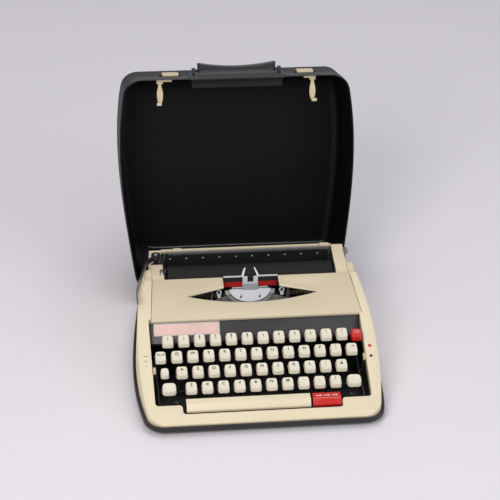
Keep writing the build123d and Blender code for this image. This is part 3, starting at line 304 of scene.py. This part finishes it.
def done(piece, name, body, material, replaced=(), angle=35.0):
    """Name, finish and body of a piece whose place is already in its mesh."""
    piece.name = name
    piece.data.name = name
    piece.data.materials.clear()
    piece.data.materials.append(material)
    start()
    piece.select_set(True)
    bpy.context.view_layer.objects.active = piece
    bpy.ops.object.transform_apply(location=True, rotation=True, scale=True)
    bpy.ops.object.shade_smooth_by_angle(angle=math.radians(angle))
    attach(piece, body)
    if replaced:
        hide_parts(*replaced)
    return piece


def together(pieces):
    """Several new objects joined into one mesh at the origin."""
    start()
    for piece in pieces:
        piece.select_set(True)
    bpy.context.view_layer.objects.active = pieces[0]
    bpy.ops.object.transform_apply(location=True, rotation=True, scale=True)
    if len(pieces) > 1:
        bpy.ops.object.join()
    return pieces[0]


def copies(pattern, places):
    """A pattern copied to each place, every copy with a mesh of its own, the pattern itself removed."""
    made = []
    for place in places:
        mesh = pattern.data.copy()
        mesh.transform(place)
        piece = bpy.data.objects.new(pattern.name, mesh)
        bpy.context.scene.collection.objects.link(piece)
        made.append(piece)
    bpy.data.objects.remove(pattern)
    return made


def block(low, high, rounding=0.3, segments=2):
    """Box between two corners in millimetres, its edges rounded."""
    start()
    middle = [(a + b) / 2 * MM for a, b in zip(low, high)]
    bpy.ops.mesh.primitive_cube_add(size=1.0, location=middle)
    piece = bpy.context.object
    piece.scale = [abs(b - a) * MM for a, b in zip(low, high)]
    bpy.ops.object.transform_apply(location=True, rotation=True, scale=True)
    bpy.ops.object.mode_set(mode="EDIT")
    bpy.ops.mesh.select_all(action="SELECT")
    bpy.ops.mesh.bevel(offset=rounding * MM, segments=segments, affect="EDGES")
    bpy.ops.object.mode_set(mode="OBJECT")
    return piece


def face_select(piece, test):
    """Select the faces that pass a test on their centre and normal."""
    bpy.ops.object.mode_set(mode="EDIT")
    bpy.ops.mesh.select_mode(type="FACE")
    bpy.ops.mesh.select_all(action="DESELECT")
    bpy.ops.object.mode_set(mode="OBJECT")
    for face in piece.data.polygons:
        face.select = test(face.center, face.normal)
    bpy.ops.object.mode_set(mode="EDIT")


def softened(name, width, segments=2, sharp=40.0):
    """A node's own form with its coplanar faces merged and its sharp edges rounded."""
    piece = bpy.data.objects.new(name, nodes[name].data.copy())
    bpy.context.scene.collection.objects.link(piece)
    start()
    piece.select_set(True)
    bpy.context.view_layer.objects.active = piece
    bpy.ops.object.mode_set(mode="EDIT")
    bpy.ops.mesh.select_all(action="SELECT")
    bpy.ops.mesh.remove_doubles(threshold=0.00001)
    bpy.ops.mesh.dissolve_limited(angle_limit=math.radians(0.5))
    bpy.ops.object.mode_set(mode="OBJECT")
    rounding = piece.modifiers.new("rounding", "BEVEL")
    rounding.width = width * MM
    rounding.segments = segments
    rounding.limit_method = "ANGLE"
    rounding.angle_limit = math.radians(sharp)
    bpy.ops.object.modifier_apply(modifier="rounding")
    return piece


def tube(points, radius, cyclic=False):
    """Round bar along a smooth line through points in millimetres."""
    start()
    line = bpy.data.curves.new("tube", "CURVE")
    line.dimensions = "3D"
    line.bevel_depth = radius * MM
    line.bevel_resolution = 3
    line.use_fill_caps = True
    spline = line.splines.new("BEZIER")
    spline.bezier_points.add(len(points) - 1)
    for knot, place in zip(spline.bezier_points, points):
        knot.co = [c * MM for c in place]
        knot.handle_left_type = "AUTO"
        knot.handle_right_type = "AUTO"
    spline.use_cyclic_u = cyclic
    holder = bpy.data.objects.new("tube", line)
    bpy.context.scene.collection.objects.link(holder)
    holder.select_set(True)
    bpy.context.view_layer.objects.active = holder
    bpy.ops.object.convert(target="MESH")
    return bpy.context.object


def disc(radius, height, chamfer=0.2, sides=32):
    """Short round piece standing on the origin, its top edge rounded."""
    start()
    bpy.ops.mesh.primitive_cylinder_add(
        vertices=sides, radius=radius * MM, depth=height * MM, location=(0, 0, height / 2 * MM)
    )
    piece = bpy.context.object
    bpy.ops.object.transform_apply(location=True)
    face_select(piece, lambda centre, normal: normal.z > 0.9)
    bpy.ops.mesh.bevel(offset=chamfer * MM, segments=2, affect="EDGES")
    bpy.ops.object.mode_set(mode="OBJECT")
    return piece


def at(x, y, z, tilt=0.0, turn=0.0):
    """Place in millimetres, tilted about X and turned about Z in degrees."""
    return (
        Matrix.Translation((x * MM, y * MM, z * MM)) @ Matrix.Rotation(math.radians(turn), 4, "Z")
        @ Matrix.Rotation(math.radians(tilt), 4, "X")
    )


def moved(piece, place):
    """A piece carried to a place by its mesh."""
    piece.data.transform(place)
    return piece


def arrow(length, head=2.0, shaft=0.6, thickness=0.12):
    """Flat arrow along +X, centred on the origin."""
    start()
    bpy.ops.mesh.primitive_circle_add(vertices=3, radius=head / 1.5 * MM, fill_type="NGON")
    tip = bpy.context.object
    bpy.ops.object.mode_set(mode="EDIT")
    bpy.ops.mesh.select_all(action="SELECT")
    bpy.ops.mesh.extrude_region_move(TRANSFORM_OT_translate={"value": (0, 0, thickness * MM)})
    bpy.ops.object.mode_set(mode="OBJECT")
    moved(tip, at((length - head) / 2, 0, 0, 0, -90))
    bar = block((-length / 2, -shaft / 2, 0), (length / 2 - head * 0.7, shaft / 2, thickness), 0.02, 1)
    return together([tip, bar])


def words(text, size, thickness=0.12, boldness=0.11):
    """Letters as a mesh, standing centred on the origin in the XY plane."""
    start()
    bpy.ops.object.text_add()
    piece = bpy.context.object
    piece.data.body = text
    piece.data.size = size * MM
    piece.data.extrude = thickness / 2 * MM
    piece.data.offset = boldness * MM
    piece.data.align_x = "CENTER"
    piece.data.align_y = "CENTER"
    piece.data.space_line = 0.86
    piece.data.resolution_u = 3
    bpy.ops.object.convert(target="MESH")
    return bpy.context.object


# ---- Key caps: a rounded block with a shallow dished top and a skirt that widens downward

PITCH = 19.05
ROW_STARTS = (-107.7, -98.4, -93.9, -84.4)
ROW_COUNTS = (12, 11, 11, 10)
ROW_STEP_Y = 18.46
ROW_STEP_Z = 9.7
NUMBER_Y = -35.8
NUMBER_Z = 66.5
CAP_TILT = 15.0
CAP_WIDE = 13.6
CAP_LONG = 15.2
CAP_DEEP = 6.4
CAP_CORNER = 2.9
TOP_NARROWER = 1.4
TOP_SHORTER = 1.6
RIM_ROUNDING = 0.7
DISH = 0.33
DISH_INSETS = ((0.7, 0.6), (1.1, 0.4))
STEM_REACH = 9.5
LEVER_HALF_WIDE = 0.8
LEVER_HALF_LONG = 2.2
LEVER_REAR_Y = 111.5


def cap(width=CAP_WIDE, depth=CAP_LONG, corner=CAP_CORNER):
    """One key cap, its top centre at the origin."""
    start()
    bpy.ops.mesh.primitive_cube_add(size=1.0, location=(0, 0, -CAP_DEEP / 2 * MM))
    piece = bpy.context.object
    piece.scale = (width * MM, depth * MM, CAP_DEEP * MM)
    bpy.ops.object.transform_apply(location=True, rotation=True, scale=True)
    face_select(piece, lambda centre, normal: normal.z > 0.5)
    bpy.ops.transform.resize(value=(1 - TOP_NARROWER / width, 1 - TOP_SHORTER / depth, 1))
    bpy.ops.object.mode_set(mode="EDIT")
    bpy.ops.mesh.select_mode(type="EDGE")
    bpy.ops.mesh.select_all(action="DESELECT")
    bpy.ops.object.mode_set(mode="OBJECT")
    for edge in piece.data.edges:
        low, high = (piece.data.vertices[v].co.z for v in edge.vertices)
        edge.select = abs(low - high) > 2 * MM
    bpy.ops.object.mode_set(mode="EDIT")
    bpy.ops.mesh.bevel(offset=corner * MM, segments=4, affect="EDGES")
    bpy.ops.object.mode_set(mode="OBJECT")
    face_select(piece, lambda centre, normal: normal.z > 0.5)
    bpy.ops.mesh.bevel(offset=RIM_ROUNDING * MM, segments=3, affect="EDGES")
    bpy.ops.object.mode_set(mode="OBJECT")
    face_select(piece, lambda centre, normal: normal.z > 0.99 and abs(centre.x) < 3 * MM)
    for inset, share in DISH_INSETS:
        bpy.ops.mesh.inset(thickness=inset * MM)
        bpy.ops.transform.translate(value=(0, 0, -DISH * share * MM))
    bpy.ops.object.mode_set(mode="OBJECT")
    return piece


def stem(x, y, z):
    """Neck under a cap, reaching down to its lever."""
    return block((x - 2, y - 2.4, z - STEM_REACH), (x + 2, y + 2.4, z - CAP_DEEP + 0.6), 0.4)


def key_letters(text, x, y, z, size=4.2, lift=2.2):
    """Letters lying in the upper half of a cap's dished top."""
    letters = words(text, size)
    letters.data.transform(at(x, y, z, CAP_TILT) @ at(0, lift, 0.14 - DISH))
    return letters


LETTER_SIZE = 5.6
SIGN_SIZE = 3.5
row_signs = (
    ("!\n1", "\"\n2", "#\n3", "$\n4", "%\n5", "&\n6", "'\n7", "(\n8", ")\n9", "*\n0", "=\n-", "?\n/"),
    ("Q", "W", "E", "R", "T", "Y", "U", "I", "O", "P", "+\n;"),
    ("A", "S", "D", "F", "G", "H", "J", "K", "L", ";\n:", "~\n@"),
    ("Z", "X", "C", "V", "B", "N", "M", ",\n,", ".\n.", "?\n/"),
)
ROW_BODIES = ("number_keys", "upper_keys", "home_keys", "lower_keys")
ROW_NAMES = ("number", "upper", "home", "lower")
CENTRE_ROW = 2
CENTRE_KEY = 5


def row_place(row):
    """Depth and height of a row's cap tops."""
    return NUMBER_Y - ROW_STEP_Y * row, NUMBER_Z - ROW_STEP_Z * row


def sign(text, x, y, z):
    """One cap's letter, or its two small signs one above the other."""
    if "\n" in text:
        return key_letters(text, x, y, z, SIGN_SIZE, 2.4)
    return key_letters(text, x, y, z, LETTER_SIZE, 2.3)


def key_lever(x, y, z):
    """Flat lever from the rear pivot to the stem under one cap."""
    left = x - LEVER_HALF_WIDE
    right = x + LEVER_HALF_WIDE
    front = y - LEVER_HALF_LONG
    bar = block((left, front, 21.8), (right, LEVER_REAR_Y, 26.2), 0.15, 1)
    neck = block((left, front, 24.0), (right, y + LEVER_HALF_LONG, z), 0.15, 1)
    return [bar, neck]


def key_foot(x, y, z, lever_x):
    """Short crosspiece that joins a stem to a lever standing beside it."""
    low = (min(x, lever_x) - 1, y - LEVER_HALF_LONG, z - 2)
    high = (max(x, lever_x) + 1, y + LEVER_HALF_LONG, z + 0.5)
    return block(low, high, 0.2, 1)


for row, name in enumerate(ROW_NAMES):
    y, z = row_place(row)
    places = [ROW_STARTS[row] + PITCH * i for i in range(ROW_COUNTS[row])]
    signs = list(row_signs[row])
    if row == CENTRE_ROW:
        centre_x = places.pop(CENTRE_KEY)
        centre_sign = signs.pop(CENTRE_KEY)
    caps = copies(cap(), [at(x, y, z, CAP_TILT) for x in places])
    stems = [stem(x, y, z) for x in places]
    done(together(caps), f"{name}_caps", ROW_BODIES[row], key_cream, [f"{name}_row_caps"])
    done(together(stems), f"{name}_stems", ROW_BODIES[row], lever_steel, [f"{name}_row_caps"])
    marks = [sign(text, x, y, z) for text, x in zip(signs, places)]
    done(together(marks), f"{name}_letters", ROW_BODIES[row], print_and_slot_shade_black)


def lone_key(piece, body, node, place, width, depth, lever_x, material):
    """A single key: its cap, and its stem and lever as a piece of their own."""
    x, y, z = place
    foot_z = z - STEM_REACH
    top = moved(cap(width, depth), at(x, y, z, CAP_TILT))
    foot = key_foot(x, y, foot_z, lever_x)
    done(top, f"{piece}_cap", body, material, [node])
    parts = [stem(x, y, z), foot] + key_lever(lever_x, y, foot_z - 1)
    done(together(parts), f"{piece}_lever", body, lever_steel, [node])


home_y, home_z = row_place(CENTRE_ROW)
upper_y, upper_z = row_place(1)
lower_y, lower_z = row_place(3)
centre_place = (centre_x, home_y, home_z)
release_place = (-117.6, upper_y, upper_z)
backspace_place = (111.3, upper_y, upper_z)
lock_place = (-114.2, home_y, home_z)
tab_place = (119.2, NUMBER_Y - 1.4, NUMBER_Z - 1)
lone_key("centre", "centre_key", "key_centre", centre_place, CAP_WIDE, CAP_LONG, centre_x, key_cream)
done(sign(centre_sign, *centre_place), "centre_letter", "centre_key", print_and_slot_shade_black)
lone_key(
    "margin_release", "margin_release", "margin_release_key", release_place, 12.8, CAP_LONG, -119.6, key_cream
)
lone_key("backspace", "backspace", "backspace_key", backspace_place, CAP_WIDE, CAP_LONG, 114.2, key_cream)
lone_key("shift_lock", "shift_lock", "shift_lock_key", lock_place, 10.0, 12.5, -116.2, key_cream)
lone_key("tab", "tab", "tab_key", tab_place, 13.0, 14.6, 119.8, key_red)

# The two shift keys share one frame: each row holds a cap's middle, its width and its lever's place.
SHIFT_CORNER = 4.4
SHIFT_BAR_FRONT = 105.0
SHIFT_BAR_REAR = 111.0
shift_places = ((-110.4, 16.8, -112.6), (109.2, 17.2, 110.6))
shift_caps = []
for x, width, _ in shift_places:
    shift_caps.append(moved(cap(width, CAP_LONG, SHIFT_CORNER), at(x, lower_y, lower_z, CAP_TILT)))
done(together(shift_caps), "shift_caps", "shift_keys", key_cream, ["shift_keys"])
shift_foot_z = lower_z - STEM_REACH
shift_levers = []
for x, _, lever_x in shift_places:
    shift_levers.append(stem(x, lower_y, lower_z))
    shift_levers.append(key_foot(x, lower_y, shift_foot_z, lever_x))
    shift_levers += key_lever(lever_x, lower_y, shift_foot_z - 1)
    drop_low = (lever_x - LEVER_HALF_WIDE, SHIFT_BAR_FRONT, 14.5)
    drop_high = (lever_x + LEVER_HALF_WIDE, SHIFT_BAR_REAR, 23.0)
    shift_levers.append(block(drop_low, drop_high, 0.15, 1))
shift_levers.append(block((-113.4, SHIFT_BAR_FRONT, 13.5), (111.4, SHIFT_BAR_REAR, 16.5), 0.3, 1))
done(together(shift_levers), "shift_frame", "shift_keys", lever_steel, ["shift_keys"])

# ---- Marks on the lone keys: arrows and lines only


MARK_THICK = 0.12


def on_cap(mark, place, across=0.0, up=0.0, turn=0.0):
    """A flat mark laid on a cap's dished top."""
    return moved(mark, at(*place, CAP_TILT) @ at(across, up, 0.08 - DISH, 0, turn))


def stroke(length, width, rounding=0.02):
    """Flat line along X, centred on the origin."""
    return block((-length / 2, -width / 2, 0), (length / 2, width / 2, MARK_THICK), rounding, 1)


release_marks = [
    on_cap(arrow(4.0, 2.0), release_place, -2.5, 2.6, 180),
    on_cap(arrow(4.0, 2.0), release_place, 2.5, 2.6),
    on_cap(stroke(7.2, 0.4), release_place, 0, 0.4),
]
done(together(release_marks), "margin_release_marks", "margin_release", print_and_slot_shade_black)
done(on_cap(arrow(4.6, 2.2), backspace_place, 1.0, 2.4), "backspace_mark", "backspace", print_and_slot_shade_black)
tab_marks = [
    on_cap(arrow(6.4, 2.4, 0.8), tab_place, 0, 2.6),
    on_cap(stroke(6.4, 0.5), tab_place, 0, 0.2),
]
done(together(tab_marks), "tab_marks", "tab", mark_pink)

# ---- Space bar and repeat key with rounded edges, the light line and arrows on the red one

done(softened("space_bar", 0.7, 3), "space_bar_soft", "space", bar_cream, ["space_bar"])
done(softened("repeat_key", 0.7, 3), "repeat_key_soft", "repeat", bar_red, ["repeat_key"])
bar_rear = Vector((0, -102.0, 27.4))
bar_crease = Vector((0, -111.3, 26.3))
rear_tilt = math.degrees(math.atan2(bar_rear.z - bar_crease.z, bar_rear.y - bar_crease.y))
rear_middle = (bar_rear + bar_crease) / 2
repeat_marks = []
for x in (64.5, 74.1, 83.7):
    on_slope = at(x, rear_middle.y - 0.4, rear_middle.z + 0.02, rear_tilt)
    repeat_marks.append(moved(arrow(7.0, 2.6, 1.0), on_slope))
line_low = (59.0, bar_crease.y - 0.3, bar_crease.z - 0.2)
line_high = (89.2, bar_crease.y + 0.3, bar_crease.z + 0.12)
crease_line = block(line_low, line_high, 0.05, 1)
done(together(repeat_marks), "repeat_arrows", "repeat", mark_white)
done(crease_line, "repeat_line", "repeat", mark_pink)

# ---- Cream mouldings with soft edges

# Each row holds a node, the width and steps of its rounding, its body and its finish.
soft_nodes = (
    ("body_shell", 1.0, 3, "machine", shell_cream),
    ("ribbon_cover", 0.6, 2, "cover", cream),
    ("carriage_end_left", 1.3, 3, "carriage", cream),
    ("carriage_end_right", 1.3, 3, "carriage", cream),
    ("margin_rail", 0.5, 2, "carriage", cream),
    ("margin_stop_left", 0.3, 2, "stop_left", cream),
    ("margin_stop_right", 0.3, 2, "stop_right", cream),
    ("base_tray", 0.7, 2, "machine", tray_black),
    ("handle_bracket", 0.8, 3, "lid", bracket_black),
    ("latch_left", 0.4, 2, "latch_left", ivory),
    ("latch_right", 0.4, 2, "latch_right", ivory),
    ("paper_release", 0.5, 2, "paper_release", release_grey),
    ("key_panel", 0.3, 2, "machine", panel_black),
    ("return_lever", 0.3, 2, "return_lever", line_lever),
)
for node, width, segments, body, material in soft_nodes:
    done(softened(node, width, segments), f"{node}_soft", body, material, [node])

# ---- Side panel marks: three strokes at the left, a red square and a black dot at the right

PANEL_FRONT_Y = -109.0
PANEL_FRONT_Z = 24.0
PANEL_REAR_Y = -4.0
PANEL_REAR_Z = 72.0
PANEL_SLOPE = (PANEL_REAR_Z - PANEL_FRONT_Z) / (PANEL_REAR_Y - PANEL_FRONT_Y)
panel_tilt = math.degrees(math.atan(PANEL_SLOPE))


def panel_z(y):
    """Height of the side panels at a depth."""
    return PANEL_FRONT_Z + (y - PANEL_FRONT_Y) * PANEL_SLOPE


def on_panel(mark, x, y):
    """A flat mark laid on a side panel."""
    return moved(mark, at(x, y, panel_z(y), panel_tilt) @ at(0, 0, 0.02))


TOUCH_X = -135.0
touch_strokes = ((4.6, -47.3), (3.2, -53.6), (1.8, -59.8))
strokes = [on_panel(stroke(length, 0.7), TOUCH_X, y) for length, y in touch_strokes]
done(together(strokes), "touch_marks", "machine", print_and_slot_shade_black)
red_square = block((-1.8, -2.0, 0), (1.8, 2.0, 0.14), 0.05, 1)
done(on_panel(red_square, 134.5, -46.6), "red_mark", "machine", mark_red)
done(on_panel(disc(1.9, 0.14, 0.03), 134.3, -59.4), "black_mark", "machine", print_and_slot_shade_black)

# ---- Setting levers: an ivory tab at the well's edge on a dark stem

TAB_HALF_LONG = 3.5
TAB_HALF_HIGH = 3.0
STEM_THICK = 1.5


def setting_lever(name, body, x_low, x_high, y):
    """Tab between two sides, and its stem along the side nearer the keys' middle."""
    top = panel_z(y)
    stem_low = x_low if x_low > 0 else x_high - STEM_THICK
    tab_low = (x_low, y - TAB_HALF_LONG, top - TAB_HALF_HIGH)
    tab_high = (x_high, y + TAB_HALF_LONG, top + TAB_HALF_HIGH)
    tab = block(tab_low, tab_high, 0.7, 3)
    stem_bar = block((stem_low, y - 2.0, top - 21.6), (stem_low + STEM_THICK, y + 2.0, top - 2.5), 0.3, 2)
    done(tab, f"{name}_tab", body, ivory, [f"{name}_lever"])
    done(stem_bar, f"{name}_stem", body, frame_black, [f"{name}_lever"])


setting_lever("colour", "colour", 124.4, 127.4, -60.0)
setting_lever("touch", "touch", -127.4, -124.4, -66.0)

# ---- Border of the bare badge plate

plate_low, plate_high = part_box("badge_plate")
plate_middle = (plate_low + plate_high) / 2 / MM
plate_long = (plate_high.x - plate_low.x) / MM
plate_wide = 11.0 * math.sqrt(2)
on_plate = at(plate_middle.x, plate_middle.y, plate_middle.z + 0.64, 45.0)
HALF_BAND = 0.5
BAND_THICK = 0.25
border = []
for side in (-1, 1):
    y_edge = side * (plate_wide / 2 - HALF_BAND)
    x_edge = side * (plate_long / 2 - HALF_BAND)
    long_low = (-plate_long / 2, y_edge - HALF_BAND, 0)
    long_high = (plate_long / 2, y_edge + HALF_BAND, BAND_THICK)
    short_low = (x_edge - HALF_BAND, -plate_wide / 2, 0)
    short_high = (x_edge + HALF_BAND, plate_wide / 2, BAND_THICK)
    border.append(block(long_low, long_high, 0.08, 1))
    border.append(block(short_low, short_high, 0.08, 1))
done(moved(together(border), on_plate), "badge_border", "machine", bright_steel)

# ---- Type basket: eyelets beside the fan, two screws on the half-round plate

BASKET_TILT = math.degrees(math.atan2(73.5 - 61.4, 56.0 - 45.6))
EYELET_TILT = 62.0


def eyelet(x, y, z):
    """Bright ring on a lug that guides the ribbon beside the type basket."""
    start()
    bpy.ops.mesh.primitive_torus_add(
        major_radius=2.5 * MM, minor_radius=1.05 * MM, major_segments=28, minor_segments=10,
        location=(0, 0, 0),
    )
    ring = moved(bpy.context.object, at(x, y, z, EYELET_TILT))
    lug = moved(block((-2.0, -7.0, -0.9), (2.0, -2.8, 0.5), 0.4, 2), at(x, y, z, EYELET_TILT))
    return [ring, lug]


done(together(eyelet(-37.4, 49.0, 74.3) + eyelet(40.4, 49.0, 75.0)), "ribbon_eyelets", "machine", plated)

# The two plate screws: where each stands, and the turn of its slot.
screws = (((-9.8, 51.1, 67.9), 35), ((13.3, 51.1, 67.9), -20))
heads = [moved(disc(1.9, 0.7, 0.3, 20), at(*place, BASKET_TILT)) for place, _ in screws]
done(together(heads), "plate_screws", "machine", bright_steel)
# The slots are flat dark bars on the screw heads: painted shade in place of a recess.
slots = []
for place, turn in screws:
    slot = block((-1.6, -0.25, 0.5), (1.6, 0.25, 0.76), 0.05, 1)
    slots.append(moved(slot, at(*place, BASKET_TILT) @ at(0, 0, 0, 0, turn)))
done(together(slots), "plate_screw_slots", "machine", print_and_slot_shade_black)

# ---- Raised lips along the upper edges of the ribbon cover's opening, a darker cream as painted shade on their tilted faces

COVER_FRONT_Y = -4.0
COVER_FRONT_Z = 72.0
COVER_REAR_Y = 59.0
COVER_REAR_Z = 90.0
COVER_SLOPE = (COVER_REAR_Z - COVER_FRONT_Z) / (COVER_REAR_Y - COVER_FRONT_Y)


def cover_z(y):
    """Height of the ribbon cover's deck at a depth."""
    return COVER_FRONT_Z + (y - COVER_FRONT_Y) * COVER_SLOPE


def cover_lip(tip_x, root_x, tip_y=35.3, root_y=48.9, tip_wide=4.6, root_wide=10.4):
    """Low raised band beside the opening, wider toward the ribbon."""
    run = abs(root_x - tip_x)
    long = math.hypot(run, root_y - tip_y)
    lip = block((-long / 2, -tip_wide / 2, -0.4), (long / 2, tip_wide / 2, 0.9), 0.5, 3)
    side = 1 if root_x > tip_x else -1
    face_select(lip, lambda centre, normal: normal.x * side > 0.3)
    bpy.ops.transform.resize(value=(1, root_wide / tip_wide, 1))
    bpy.ops.object.mode_set(mode="OBJECT")
    middle_y = (tip_y + root_y) / 2
    turn = side * math.degrees(math.atan2(root_y - tip_y, run))
    deck_tilt = math.degrees(math.atan(COVER_SLOPE))
    place = at((tip_x + root_x) / 2, middle_y, cover_z(middle_y), deck_tilt) @ at(0, 0, 0, 0, turn)
    return moved(lip, place)


done(together([cover_lip(-76.5, -33.6), cover_lip(80.7, 37.4)]), "cover_lips", "cover", lip_shaded_cream)

# ---- Ticks near the upper edge of the paper table, the screw and dark bracket beside the line lever's hub

TICK_COUNT = 10
TICK_STEP = 20.5
FIRST_TICK_X = -93.1
TICK_HALF_WIDE = 0.9
ticks = []
for i in range(TICK_COUNT):
    x = FIRST_TICK_X + i * TICK_STEP
    ticks.append(block((x - TICK_HALF_WIDE, 99.9, 92.6), (x + TICK_HALF_WIDE, 100.6, 93.6), 0.15, 1))
done(together(ticks), "table_ticks", "carriage", mark_white)
done(block((-117.6, 89.5, 79.3), (-104.2, 94.6, 92.0), 0.8, 2), "hub_bracket", "carriage", frame_black)
done(moved(disc(2.4, 0.5, 0.2, 24), at(-111.0, 99.5, 100.9)), "hub_screw", "return_lever", chrome)

# ---- Lid: the moulded bead across the inside near its hinge, its light grey a painted highlight

HINGE_Y = 141.0
HINGE_Z = 14.7
LID_ANGLE = -107.4
BEAD_Z = 104.6
BEAD_RADIUS = 0.9


def on_lid(x, y, z):
    """Where a point of the shut lid stands when the lid is open."""
    turned = Matrix.Rotation(math.radians(LID_ANGLE), 4, "X") @ Vector((0, y - HINGE_Y, z - HINGE_Z))
    return (x, turned.y + HINGE_Y, turned.z + HINGE_Z)


bead_route = (
    (-109.0, 101.4), (-105.0, 102.8), (-98.0, 103.4), (0.0, 103.4), (112.0, 104.0), (122.0, 103.8),
    (127.0, 102.4),
)
bead = [on_lid(x, y, BEAD_Z) for x, y in bead_route]
done(tube(bead, BEAD_RADIUS), "lid_bead", "lid", lid_bead_highlight)

# ---- Camera, light and floor

bpy.context.scene.view_settings.view_transform = "Standard"
camera = bpy.data.objects.new("camera", bpy.data.cameras.new("camera"))
bpy.context.scene.collection.objects.link(camera)
bpy.context.scene.camera = camera
camera.data.lens = 140.3
camera.data.sensor_width = 36.0
CAMERA_PLACE = (-0.28737, -1.92630, 1.39108)
YAW = 0.1440
PITCH_DOWN = 0.5620
ROLL = 0.0370
camera.matrix_world = (
    Matrix.Translation(CAMERA_PLACE)
    @ Matrix.Rotation(-YAW, 4, "Z")
    @ Matrix.Rotation(math.pi / 2 - PITCH_DOWN, 4, "X")
    @ Matrix.Rotation(ROLL, 4, "Z")
)


def lamp(name, place, aim, size, energy, colour=(1, 1, 1)):
    """Soft square lamp aimed at a point."""
    light = bpy.data.lights.new(name, "AREA")
    light.size = size
    light.energy = energy
    light.color = colour
    holder = bpy.data.objects.new(name, light)
    bpy.context.scene.collection.objects.link(holder)
    direction = Vector(aim) - Vector(place)
    holder.matrix_world = Matrix.Translation(place) @ direction.to_track_quat("-Z", "Y").to_matrix().to_4x4()


lamp("key_lamp", (-0.9, -1.4, 1.45), (0, 0, 0.05), 0.9, 18.5, (1.0, 0.98, 0.95))
lamp("fill_lamp", (1.3, -0.9, 1.2), (0, 0, 0.1), 1.2, 6.5, (0.97, 0.98, 1.0))
lamp("top_lamp", (0.1, 0.3, 1.9), (0, 0, 0), 1.0, 6.0)


def studio_world():
    """Pale backdrop where it is seen, mirrored or seen through; a dimmer sky lights everything else."""
    world = bpy.data.worlds.new("studio")
    world.use_nodes = True
    tree = world.node_tree
    rays = tree.nodes.new("ShaderNodeLightPath")
    through = tree.nodes.new("ShaderNodeMath")
    through.operation = "ADD"
    tree.links.new(rays.outputs["Is Glossy Ray"], through.inputs[0])
    tree.links.new(rays.outputs["Is Transmission Ray"], through.inputs[1])
    either = tree.nodes.new("ShaderNodeMath")
    either.operation = "ADD"
    either.use_clamp = True
    tree.links.new(rays.outputs["Is Camera Ray"], either.inputs[0])
    tree.links.new(through.outputs[0], either.inputs[1])
    sky = tree.nodes["Background"]
    sky.inputs["Color"].default_value = (0.80, 0.79, 0.82, 1.0)
    sky.inputs["Strength"].default_value = 0.5
    backdrop = tree.nodes.new("ShaderNodeBackground")
    backdrop.inputs["Color"].default_value = tone(216, 212, 219)
    backdrop.inputs["Strength"].default_value = 1.0
    choice = tree.nodes.new("ShaderNodeMixShader")
    tree.links.new(either.outputs[0], choice.inputs[0])
    tree.links.new(sky.outputs[0], choice.inputs[1])
    tree.links.new(backdrop.outputs[0], choice.inputs[2])
    tree.links.new(choice.outputs[0], tree.nodes["World Output"].inputs["Surface"])
    return world


bpy.context.scene.world = studio_world()

FLOOR_SIZE = 6.0
start()
bpy.ops.mesh.primitive_plane_add(size=FLOOR_SIZE, location=(0, 0.4, 0))
floor = bpy.context.object
floor.name = "floor"
floor_finish = Finish("pale_floor")
floor_shade = floor_finish.mix(floor_finish.noise(3.0), tone(243, 240, 245), tone(238, 235, 240))
floor_finish.put("Base Color", floor_shade)
floor_finish.put("Roughness", 0.6 + floor_finish.noise(20.0) * 0.1)
floor.data.materials.append(floor_finish.material)
